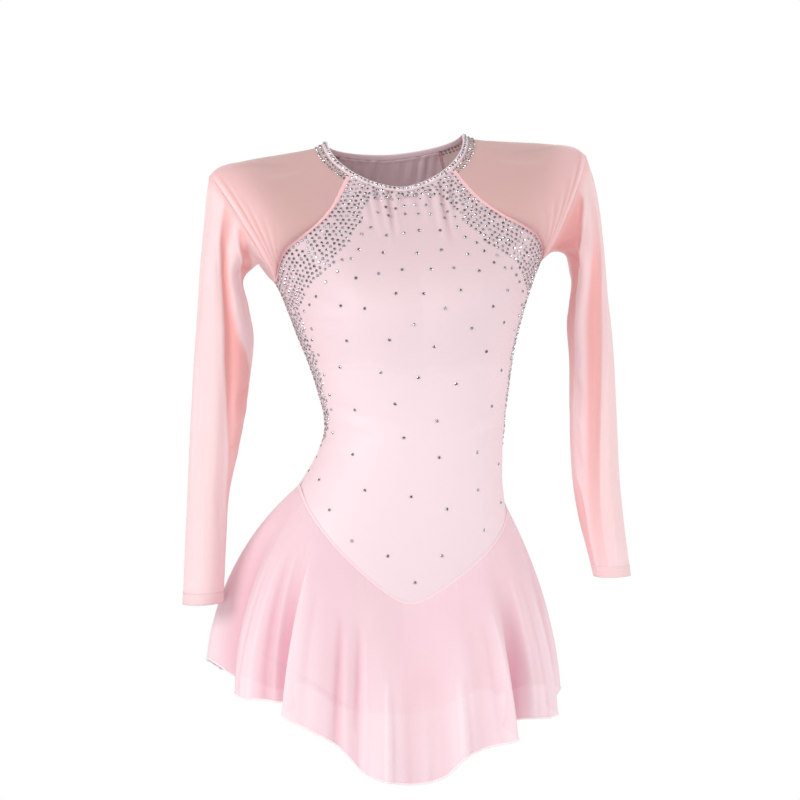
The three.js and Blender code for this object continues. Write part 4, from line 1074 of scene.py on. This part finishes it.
def skirt_surface(columns=900, rows=90):
    """Closed round the figure. The drop at each step is the side of a right triangle whose long side is the
    cloth's length in that step, and whose other side is how much farther it stands out."""
    angle, v = np.meshgrid(np.linspace(0, 2 * np.pi, columns, endpoint=False), np.linspace(0, 1, rows + 1))
    degrees = np.degrees(angle)
    degrees = np.where(degrees > 270, degrees - 360, degrees)
    start = standing(angle, waist_down(angle))
    facing = outward(angle, waist_down(angle))
    straight_out = unit(facing * [1, 1, 0])
    sideways = np.stack([-straight_out[..., 1], straight_out[..., 0], 0 * angle], -1)
    length = curve(FLARE, "length", degrees, 360)
    reach = skirt_reach(degrees, v)
    step_out = np.diff(reach, axis=0, prepend=reach[:1])
    step = np.diff(v, axis=0, prepend=v[:1]) * length
    drop = np.cumsum(np.sqrt(np.maximum(step**2 - step_out**2, 0)), axis=0)
    lean = curve(FOLDS, "lean", degrees, 360) * v**FOLD_BEND
    round_hem = degrees * HEM_TO_A_DEGREE
    ripple = 1.5 * uneven_wave(round_hem, 46, seed=3) * v**1.4 + 1.0 * uneven_wave(round_hem, 21, seed=6) * v**6
    gather = 0.3 * uneven_wave(degrees * 2, 9, seed=8) * bell(v, 0.09) * (v > 0)
    creases = crease_relief(degrees * CREASE_SCALES["at"], v * CREASE_SCALES["down"], SKIRT_CREASES_MM)
    grid = start + straight_out * (reach + ripple + gather + creases)[..., None] + sideways * lean[..., None]
    grid[..., 2] -= drop
    ridge = curve(FOLDS, "out", degrees, 360)
    # Painted shade in the valleys between folds and in crease troughs, painted highlight on fold and crease ridges, the
    # folds' part growing down the skirt; the next line paints a highlight on the lit edge.
    deep = 0.17 + np.clip(-0.022 * ridge, -0.14, 0.5) * ease((v - 0.15) / 0.6) - np.clip(0.09 * creases, -0.2, 0.22)
    deep -= LIT_EDGE["lighter"] * bell(degrees - LIT_EDGE["at"], LIT_EDGE["wide"]) * ease((v - 0.2) / 0.4)
    return grid, {"deep": np.clip(deep, 0, 1)}


skirt_grid, skirt_masks = skirt_surface()
around_next = np.roll(skirt_grid, -1, axis=1) - np.roll(skirt_grid, 1, axis=1)
skirt_normals = unit(np.cross(np.gradient(skirt_grid, axis=0), around_next))
SKIRT_MIDDLE = np.array([-10, 15, 0])
skirt_normals *= np.sign(np.sum(skirt_normals * ((skirt_grid - SKIRT_MIDDLE) * [1, 1, 0])))
print("skirt hem", round(float(np.linalg.norm(around_next[-1], axis=1).sum() / 2)), "mm round")

# %% Front and back of the skirt
quarter_column = skirt_grid.shape[1] // 4
for name, first in (("skirt_front", -quarter_column), ("skirt_back", quarter_column)):
    columns = np.arange(first, first + 2 * quarter_column + 1)
    whole = (skirt_grid, skirt_normals, skirt_masks["deep"])
    grid, facing, deep = (values.take(columns, axis=1, mode="wrap") for values in whole)
    cloth_panel(name, "cloth", (grid, facing, {"deep": deep}), SKIRT_MESH)

# %% [markdown]
# ## The briefs
#
# The briefs hang inside the skirt and show through it. Their upper rows follow the figure below the waist seam.
# Their lower rows run between the two leg edges, and the middle turns under to the crotch seam.

# %% Tables for the briefs
LEG_SIDE_DOWN = 584
BRIEFS_FRONT = dict(
    middle=table(
        "along out down",
        (0, 104, 520), (0.25, 103, 556), (0.45, 97, 586), (0.65, 82, 618), (0.84, 50, 646), (1, 0, 660),
    ),
    leg=table(
        "along across out down",
        (0, 161, 0, 584), (0.25, 134, 46, 596), (0.5, 96, 66, 614), (0.75, 57, 50, 638), (1, 33, 0, 657),
    ),
)
BRIEFS_BACK = dict(
    middle=table(
        "along out down",
        (0, 117, 486), (0.25, 118, 536), (0.45, 112, 577), (0.65, 96, 616), (0.84, 58, 646), (1, 0, 660),
    ),
    leg=table(
        "along across out down",
        (0, 161, 0, 584), (0.25, 142, 48, 600), (0.5, 108, 72, 621), (0.75, 64, 54, 643), (1, 33, 0, 657),
    ),
)
BRIEFS_INSIDE = 1.8  # how far they lie inside the skirt's top
SIDE_ROWS = 0.4  # share of the rows beside the side seams


def briefs_surface(backwards, columns=110, rows=90):
    """A blend, row by row, from the figure's own section to a section that ends at the leg edges."""
    u, v = np.meshgrid(np.linspace(-1, 1, columns + 1), np.linspace(0, 1, rows + 1))
    rows_of = BRIEFS_BACK if backwards else BRIEFS_FRONT
    centre = np.pi if backwards else 0.0
    angle = centre + u * QUARTER
    leg = np.clip((v - SIDE_ROWS) / (1 - SIDE_ROWS), 0, 1)
    upper = ease(v / SIDE_ROWS)
    shape = mix(waist_shape(np.abs(u)), u * u, upper)
    side_down = mix(SIDE_SEAM_DOWN, LEG_SIDE_DOWN, v / SIDE_ROWS)
    edge_down = np.where(v < SIDE_ROWS, side_down, curve(rows_of["leg"], "down", leg))
    down = mix(curve(rows_of["middle"], "down", v), edge_down, shape)
    s, c = np.sin(angle), np.abs(np.cos(angle))
    across = signed_power(s, SECTION_POWER) * curve(rows_of["leg"], "across", leg)
    flatter = c ** (SECTION_POWER * mix(1, 1.6, leg))
    out = mix(curve(rows_of["leg"], "out", leg), curve(rows_of["middle"], "out", v), flatter)
    under = np.stack([across, out if backwards else -out, -down], -1)
    grid = stand(mix(figure_point(angle, down), under, upper[..., None]))
    normals = grid_normals(grid, out_from=[-8, 0, -520])
    relief = -BRIEFS_INSIDE + 0.5 * uneven_wave(v * 190, 34, seed=9) * (1 - u * u)
    hem = ease((np.abs(u) - 0.93) / 0.03) * (v > SIDE_ROWS)
    return grid + normals * relief[..., None], normals, {"deep": 0.2 + 0.1 * hem}


for name, backwards in (("briefs_front", False), ("briefs_back", True)):
    surface = briefs_surface(backwards)
    cloth_panel(name, "panel", surface, BRIEFS_JERSEY, thickness=JERSEY_THICKNESS)

# %% [markdown]
# ## Seams, hems and stitches
#
# The raglan seams carry a narrow tape of the sleeves' pink, the waist and side seams a paler one, and the skirt's
# hem is rolled over a thread. All are one shape: a flattened round section carried along a line of the cloth. A
# Curve object with a bevel would do for a loose cord, but here the section has to lie flat on the surface.

# %% A tape along a line
# Half the width across the line, the height off the cloth, and how far the middle is lifted off it.
RAGLAN_SIZE = dict(half_width=2.8, height=0.5, lift=-0.15)
SIDE_SIZE = dict(half_width=0.9, height=0.45, lift=-0.35)
WAIST_SIZE = dict(half_width=1.7, height=0.6, lift=-0.15)
HEM_SIZE = dict(half_width=1.15, height=1.15, lift=0.0)


def tape_along(name, path, normals, size, material, closed=False, sides=10):
    """An ellipse of the given size, carried along a path on the cloth."""
    if closed:
        tangent = unit(np.roll(path, -1, axis=0) - np.roll(path, 1, axis=0))
    else:
        tangent = unit(np.gradient(path, axis=0))
    across = unit(np.cross(tangent, normals))
    turn = np.linspace(0, 2 * np.pi, sides, endpoint=False)[:, None, None]
    off_cloth = np.sin(turn) * size["height"] + size["lift"]
    tube = path + across * np.cos(turn) * size["half_width"] + normals * off_cloth
    facing = unit(tube - path - normals * size["lift"])
    piece = grid_mesh(name, tube, facing, {"deep": 0.0}, round_u=closed, round_v=True)
    dress_in(piece, material)
    print(name, len(piece.data.polygons), "faces")


# %% Raglan, side and waist tapes
v_line = np.linspace(0, 1, 160)
for side, word in ((-1, "right"), (1, "left")):
    for backwards, where in ((False, "front"), (True, "back")):
        behind = np.full(v_line.shape, backwards)
        path, (angle, down) = raglan_point(side, v_line, behind), raglan_spot(v_line, behind)
        facing = outward(side * angle, down)
        tape_along(f"raglan_cord_{where}_{word}", path, facing, RAGLAN_SIZE, RAGLAN_TAPE)
    spot = np.full(v_line.shape, side * QUARTER), mix(ARMPIT_DOWN + 2.0, SIDE_SEAM_DOWN - 1.0, v_line)
    tape_along(f"side_seam_{word}", standing(*spot), outward(*spot), SIDE_SIZE, SEAM_TAPE)
turn_line = np.linspace(0, 2 * np.pi, 600, endpoint=False)
spot = turn_line, waist_down(turn_line)
tape_along("waist_cord", standing(*spot), outward(*spot), WAIST_SIZE, SEAM_TAPE, closed=True)

# %% Rolled hem
tape_along("rolled_hem", skirt_grid[-1], skirt_normals[-1], HEM_SIZE, HEM_THREAD, closed=True)

# %% Cuff hems
# The lowest 14 mm of each sleeve is turned up inside and lies double, with two rows of stitches.
CUFF_HEM = 14.0
CUFF_OUTSIDE, CUFF_INSIDE = 0.25, -0.75  # the hem's two faces, off the sleeve
CUFF_STITCHES = dict(below_top=(2.0, 4.5), lift=0.3, pitch=2.6, length=2.0, radius=0.22)


def rows_near_end(grid, depth):
    """How many of a grid's last rows lie within a depth of its end."""
    back = np.linalg.norm(np.diff(grid[::-1, 0], axis=0), axis=1).cumsum()
    return int(np.searchsorted(back, depth)) + 1


cuff_hems = {}
for name in SLEEVES:
    count = rows_near_end(panels[name]["grid"], CUFF_HEM)
    grid, normals = (panels[name][part][-count:, :-1] for part in ("grid", "facing"))
    cuff = np.concatenate([grid + normals * CUFF_OUTSIDE, (grid + normals * CUFF_INSIDE)[::-1]])
    cuff_facing = np.concatenate([normals, -normals[::-1]])
    cuff_hems[name] = grid_mesh(name + "_cuff_hem", cuff, cuff_facing, {"deep": 0.12}, round_u=True, round_v=True)
    dress_in(cuff_hems[name], SLEEVE_MESH)

# %% Stitches
def evenly(path, count):
    """A path, or directions along one, with evenly spaced points."""
    run = run_along(path)
    return spots_along(path, run, np.linspace(0, run[-1], count))


def stitch_row(path, normals, pitch, length, radius):
    """Short spindles laid end to end along a path: points and faces of them all."""
    count = max(2, int(run_along(path)[-1] / pitch))
    at, face = evenly(path, count), unit(evenly(normals, count))
    run = unit(np.gradient(at, axis=0)) * length / 2
    aside = unit(np.cross(run, face)) * radius
    up = face * radius * 0.8
    ring = [at + aside, at + up, at - aside, at - up * 0.5]
    points = np.stack([at - run, at + run, *ring], 1)
    faces = [(0, 3, 2), (0, 4, 3), (0, 5, 4), (0, 2, 5), (1, 2, 3), (1, 3, 4), (1, 4, 5), (1, 5, 2)]
    joined = np.arange(count)[:, None, None] * 6 + np.array(faces)[None]
    return points.reshape(-1, 3), joined.reshape(-1, 3)


def joined_mesh(name, batches, material):
    """Many small shapes in one mesh."""
    points, faces, start = [], [], 0
    for batch_points, batch_faces in batches:
        points.append(batch_points)
        faces.append(batch_faces + start)
        start += len(batch_points)
    mesh = bpy.data.meshes.new(name)
    mesh.from_pydata((np.concatenate(points) * MM).tolist(), [], np.concatenate(faces).tolist())
    mesh.update()
    piece = new_piece(name, mesh)
    dress_in(piece, material)
    return piece


stitch_batches = []
for name in SLEEVES:
    grid, normals = panels[name]["grid"], panels[name]["facing"]
    for below in CUFF_STITCHES["below_top"]:
        row = len(grid) - rows_near_end(grid, CUFF_HEM - below)
        path = grid[row] + normals[row] * CUFF_STITCHES["lift"]
        size = (CUFF_STITCHES[word] for word in ("pitch", "length", "radius"))
        stitch_batches.append(stitch_row(path, normals[row], *size))
stitches = joined_mesh("cuff_stitches", stitch_batches, HEM_THREAD)
print("stitches", len(stitches.data.polygons) // 8)

# %% [markdown]
# ## The stones
#
# Each stone is a small flat-backed gem: a table, a crown of facets and a low rim. It is glued on, so it stands on
# the cloth and follows it. They lie close in bands along the raglan and side seams, in a row on the neck band
# with two more beside it, and thinly over the front. One stone of a few dozen faces is worked out once, then
# copied to every place as whole arrays. Each facet gets its own shade, because a real one mirrors another part
# of the hall.

# %% One stone
STONE_SIDES = 8
STONE_RINGS = table("radius height half_facets", (0.56, 0.62, 1), (1.0, 0.22, 0), (0.98, 0.0, 0))


def stone_shape():
    """A table at the top, a rim turned by half a facet, and a foot. Radius 1, to be scaled by each stone's size."""
    turn = 2 * np.pi * np.arange(STONE_SIDES) / STONE_SIDES
    points = [(0, 0, STONE_RINGS["height"][0])]
    for radius, height, shift in zip(*STONE_RINGS.values()):
        turned = turn + shift * np.pi / STONE_SIDES
        points += zip(radius * np.cos(turned), radius * np.sin(turned), np.full(STONE_SIDES, height))
    n = STONE_SIDES
    table_at, rim_at, foot_at = 1, 1 + n, 1 + 2 * n
    faces = []
    for k in range(n):
        m = (k + 1) % n
        faces.append((0, table_at + k, table_at + m))
        for upper, lower in ((table_at, rim_at), (rim_at, foot_at)):
            faces.append((upper + k, lower + k, lower + m))
            faces.append((upper + k, lower + m, upper + m))
    faces += [(foot_at, foot_at + k + 1, foot_at + k) for k in range(1, n - 1)]
    return np.array(points), np.array(faces)


def stone_material():
    """Foiled crystal: mirror-like, silver grey, with facets that range from dark teal to white: painted reflections."""
    material, tree, shader = new_material(
        "foiled crystal", Roughness=0.14, Metallic=0.85, Coat_Weight=0.6, Coat_Roughness=0.04
    )
    ramp = wire(tree, "ShaderNodeValToRGB", {"Fac": attribute(tree, "glint")})
    stops = ((0.0, "3A3F45"), (0.3, "6C7278"), (0.6, "A6ABB0"), (0.82, "DADDE0"), (1.0, "FFFFFF"))
    points = ramp.color_ramp.elements
    points.remove(points[1])
    points[0].position, points[0].color = stops[0][0], colour(stops[0][1])
    for place, shade in stops[1:]:
        points.new(place).color = colour(shade)
    fill(tree, shader, Base_Color=ramp.outputs["Color"])
    return material


STONE_POINTS, STONE_FACES = stone_shape()
CRYSTAL = stone_material()


def set_stones(name, places, normals, sizes, slot):
    """A copy of the stone at each place, with its foot on the cloth and a turn of its own."""
    count = len(places)
    aside = unit(np.cross(normals, np.array([0.3, 0.1, 1.0])))
    other = np.cross(normals, aside)
    turn = CHANCE.uniform(0, 2 * np.pi, count)
    cos, sin = np.cos(turn)[:, None], np.sin(turn)[:, None]
    a, b = aside * cos + other * sin, other * cos - aside * sin
    shape = STONE_POINTS[None] * sizes[:, None, None]
    points = places[:, None]
    for k, way in enumerate((a, b, normals)):
        points = points + shape[..., k : k + 1] * way[:, None]
    faces = STONE_FACES[None] + np.arange(count)[:, None, None] * len(STONE_POINTS)
    piece = joined_mesh(name, [(points.reshape(-1, 3), faces.reshape(-1, 3))], CRYSTAL)
    # Painted reflections: a shade from dark to white for each facet, and mostly dark on the tables.
    glints = CHANCE.beta(1.3, 1.0, (count, len(STONE_FACES)))
    glints[:, 0 : 5 * STONE_SIDES : 5] = CHANCE.beta(0.8, 2.0, (count, 1))  # a table is one flat facet
    set_values(piece.data, "glint", "FACE", glints)
    print(name, count)


# %% Rows of stones beside an edge
STONE = 1.8  # radius of the common stone
PITCH = 6.0  # from stone to stone along a row
ROW_STEP = 5.3  # from row to row


def distance_to(line, surface):
    """The distance from each point of a surface to the nearest point of a line."""
    best = np.full(surface.shape[:-1], np.inf)
    for point in line:
        best = np.minimum(best, np.linalg.norm(surface - point, axis=-1))
    return best


def rows_beside(surface, facing, width, first=4.4, step=ROW_STEP, pitch=PITCH, loose=0.35):
    """Stones in rows along the surface's first column, each row half a pitch on from the last. A row is the line
    at its own distance from that edge, found on each row of the grid between two columns. Width says how far in
    from the edge the stones reach, at each place along it."""
    away = distance_to(surface[:, 0], surface)
    places, normals = [], []
    for k in range(int((np.max(width) - first) / step) + 1):
        offset = first + k * step
        column = np.argmax(away > offset, axis=1)
        at = np.flatnonzero((offset < width) & (column > 0))
        if len(at) < 4:
            continue
        inner, outer = (at, column[at] - 1), (at, column[at])
        share = ((offset - away[inner]) / (away[outer] - away[inner]))[:, None]
        path, way = mix(surface[inner], surface[outer], share), mix(facing[inner], facing[outer], share)
        run = run_along(path)
        stops = np.arange(pitch * (0.25 + 0.5 * (k % 2)), run[-1], pitch)
        stops = stops + CHANCE.normal(0, loose, len(stops))
        nudge = CHANCE.normal(0, loose, (len(stops), 3))
        ways = unit(spots_along(way, run, stops))
        nudge -= ways * np.sum(nudge * ways, axis=1, keepdims=True)  # along the cloth, not off it
        places.append(spots_along(path, run, stops) + nudge)
        normals.append(ways)
    return np.concatenate(places), np.concatenate(normals)


def spread_out(points, gaps, keep=()):
    """Goes through the points in order and drops each that lies nearer than its gap to one already kept."""
    kept = np.empty((len(keep) + len(points), 3))
    kept[: len(keep)] = np.reshape(keep, (-1, 3))
    count, chosen = len(keep), []
    for k, point in enumerate(points):
        near = kept[:count] - point
        if not count or np.min(np.einsum("ij,ij->i", near, near)) > gaps[k] ** 2:
            kept[count] = point
            count += 1
            chosen.append(k)
    return np.array(chosen, int)


# %% Stones round the neck
NECK_PITCH = 4.9
NECK_ROWS = dict(first=2.6, step=4.5, pitch=NECK_PITCH, loose=0.2)  # the two rows beside the band
NECK_ROWS_WIDTH = 8.0
NECK_GAP = 3.9  # where rows of two panels meet, nearer stones are dropped
ROWS_NEAR_NECK = 40  # of a panel's grid


def band_row():
    """One row along the middle of the band."""
    fine = np.linspace(0, 2 * np.pi, 2000)
    seam, edge, _ = neck_frame(fine)
    run = run_along(mix(seam, edge, 0.5))
    count = int(run[-1] / NECK_PITCH)
    seam, edge, facing = neck_frame(np.interp(np.arange(count) / count * run[-1], run, fine))
    return mix(seam, edge, 0.52) + facing * 0.3, facing


neck_rows = [band_row()]
for name, way in ((SLEEVES[0], 1), (SLEEVES[1], 1), ("bodice_back", -1)):  # way turns the neck's row to the first
    surface, facing = (panels[name][part][::way][:ROWS_NEAR_NECK].swapaxes(0, 1) for part in ("grid", "facing"))
    neck_rows.append(rows_beside(surface, facing, np.full(len(surface), NECK_ROWS_WIDTH), **NECK_ROWS))
places, normals = (np.concatenate(part) for part in zip(*neck_rows))
chosen = spread_out(places, np.full(len(places), NECK_GAP))
sizes = CHANCE.normal(STONE, 0.05, len(chosen))
set_stones("stones_neck_band", places[chosen], normals[chosen], sizes, "bodice_jersey")

# %% Stones of the front panel
# How far in from the panel's side edge the close rows reach, from the waist (0) over the armpit (0.58) to the
# neck (1), and how far down from the neck seam, from the middle of the front (0) to the raglan seam (1).
SIDE_BAND = table(
    "along width",
    (0.1, 0), (0.15, 16), (0.2, 25), (0.3, 34), (0.4, 42), (0.48, 46), (0.55, 49), (0.6, 50), (0.7, 49), (0.8, 44),
    (0.9, 37), (1, 30),
)
NECK_BAND = table("along width", (0, 4), (0.22, 5), (0.36, 9), (0.5, 16), (0.62, 24), (1, 30))
CLOSE_GAP = 4.5  # the least distance between stones of the rows
LOOSE_GAPS = (9, 23, 42)  # beside the rows, on the chest and at the waist
LOOSE_EDGES = dict(beyond=1.5, below=5, level=506, along=0.04)  # how near to the rows and the seam a loose one is


def front_stones():
    """Close rows beside the side edges and the neck seam, then loose stones. A loose stone's distance from its
    neighbours grows with its distance from the rows, and down the front."""
    grid, facing = panels["bodice_front"]["grid"], panels["bodice_front"]["facing"]
    rows, columns = grid.shape[:2]
    half = columns // 2 + 1
    v, u = np.linspace(0, 1, rows), np.linspace(-1, 1, columns)
    side_width, neck_width = curve(SIDE_BAND, "width", v), curve(NECK_BAND, "width", np.abs(u))
    left_width = side_width * mix(1.12, 0.94, ease((v - 0.45) / 0.15))
    turned_grid, turned_facing = (values[::-1][:70].swapaxes(0, 1) for values in (grid, facing))
    close = [
        rows_beside(grid[:, :half], facing[:, :half], side_width),
        rows_beside(grid[:, ::-1][:, :half], facing[:, ::-1][:, :half], left_width),
        rows_beside(turned_grid, turned_facing, neck_width, first=3.4, step=5.0),
    ]
    places, normals = (np.concatenate(part) for part in zip(*close))
    in_rows = spread_out(places, np.full(len(places), CLOSE_GAP))
    places, normals = places[in_rows], normals[in_rows]

    beyond = np.minimum(distance_to(grid[::2, 0], grid), distance_to(grid[::2, -1], grid)) - side_width[:, None]
    below = distance_to(grid[-1, ::2], grid) - neck_width[None, :]
    level = -grid[..., 2]
    near, chest, waist = LOOSE_GAPS
    thin = mix(chest, waist, ease((level - 120) / 250))
    gap = np.minimum(mix(near, thin, ease(beyond / 40)), mix(near, thin, ease(below / 95))).ravel()
    usable = (beyond > LOOSE_EDGES["beyond"]) & (below > LOOSE_EDGES["below"]) & (level < LOOSE_EDGES["level"])
    usable &= v[:, None] > LOOSE_EDGES["along"]
    order = CHANCE.permutation(np.flatnonzero(usable))
    order = order[np.argsort(np.round(gap[order] / 5), kind="stable")]
    flat, ways = grid.reshape(-1, 3), facing.reshape(-1, 3)
    loose = order[spread_out(flat[order], gap[order], keep=places)]
    sizes = np.concatenate([CHANCE.normal(STONE, 0.08, len(places)), np.full(len(loose), STONE * 1.06)])
    return np.concatenate([places, flat[loose]]), np.concatenate([normals, ways[loose]]), sizes


set_stones("stones_front", *front_stones(), "bodice_jersey")

# %% [markdown]
# ## Printing the cloth's cut sizes
#
# A sheet of cloth is cut flat before it is sewn. Stretch jersey is cut a tenth smaller than the body, so that it
# holds to it, and the sleeves' mesh 3% smaller. The skirt isn't stretched at all.

# %% Cut sizes
# The rectangle that a panel is cut from, in metres, how it is held, and its cut area as a share of its area now.
CUTS = {
    "bodice_front": (0.34, 0.50, "stretched", 0.9), "bodice_back": (0.34, 0.50, "stretched", 0.9),
    "sleeve_right": (0.27, 0.60, "hung", 0.97), "sleeve_left": (0.27, 0.60, "hung", 0.97),
    "briefs_front": (0.36, 0.27, "stretched", 0.9), "briefs_back": (0.38, 0.30, "stretched", 0.9),
    "skirt_front": (0.86, 0.34, "hung", 1.0), "skirt_back": (0.98, 0.36, "hung", 1.0),
}
for name, (width, length, held, share) in CUTS.items():
    piece = panels[name]["piece"]
    cut_area = area_of(piece) * share
    print(f"{name}: cut {width} x {length} m, {cut_area:.3f} m2")

# %% [markdown]
# ## Floor, light and camera
#
# The dress is shown as in a studio: a white surround, a large soft light in front and above, a weaker one from
# the side for the folds, and small bright ones that give the stones their glints. The floor is where the
# wearer's feet would be.

# %% Floor and surround
FLOOR_DOWN = 1.42
bpy.ops.mesh.primitive_circle_add(vertices=96, radius=2.4, fill_type="NGON", location=(0, 0, -FLOOR_DOWN))
floor = bpy.context.object
floor.name = "floor"
floor_material, _, _ = new_material("pale floor", Base_Color=(0.93, 0.93, 0.93, 1), Roughness=0.8)
floor.data.materials.append(floor_material)

world = bpy.data.worlds.new("white surround")
bpy.context.scene.world = world
world.use_nodes = True
tree = world.node_tree
lit, seen = (
    wire(tree, "ShaderNodeBackground", {"Color": tint, "Strength": strength}).outputs[0]
    for tint, strength in (((1, 0.985, 0.975, 1), 0.68), ((1, 1, 1, 1), 1.0))
)
in_view = wire(tree, "ShaderNodeLightPath").outputs["Is Camera Ray"]
choice = wire(tree, "ShaderNodeMixShader", {0: in_view, 1: lit, 2: seen})
tree.links.new(choice.outputs[0], tree.nodes["World Output"].inputs["Surface"])
bpy.context.scene.view_settings.view_transform = "Standard"


# %% Lights
MIDDLE = Vector((0.0, 0.0, -0.35))


def area_light(name, place, size, watts, tint=(1, 1, 1)):
    """A square light at a place, turned towards the middle of the dress."""
    data = bpy.data.lights.new(name, "AREA")
    data.size, data.energy, data.color = size, watts, tint
    light = bpy.data.objects.new(name, data)
    light.location = place
    light.rotation_euler = (MIDDLE - Vector(place)).to_track_quat("-Z", "Y").to_euler()
    bpy.context.collection.objects.link(light)


area_light("key", (-2.1, -1.5, 0.5), 1.1, 27)
area_light("side", (2.1, -0.7, 0.1), 0.9, 10, (1, 0.98, 0.97))
area_light("back", (0.4, 2.2, 0.6), 1.4, 12)
area_light("glint left", (-0.7, -2.4, -0.2), 0.12, 2.5)
area_light("glint right", (1.1, -2.2, 0.5), 0.12, 2.5)

# %% Camera
LENS, SENSOR = 85.0, 36.0
AIM = Vector((3, 0, -298)) * MM
DISTANCE = 2172 * MM
AZIMUTH = np.radians(-8.0)
camera_data = bpy.data.cameras.new("camera")
camera_data.lens, camera_data.sensor_width = LENS, SENSOR
camera = bpy.data.objects.new("camera", camera_data)
camera.location = AIM + Vector((np.sin(AZIMUTH), -np.cos(AZIMUTH), 0)) * DISTANCE
camera.rotation_euler = (AIM - camera.location).to_track_quat("-Z", "Y").to_euler()
bpy.context.collection.objects.link(camera)
bpy.context.scene.camera = camera
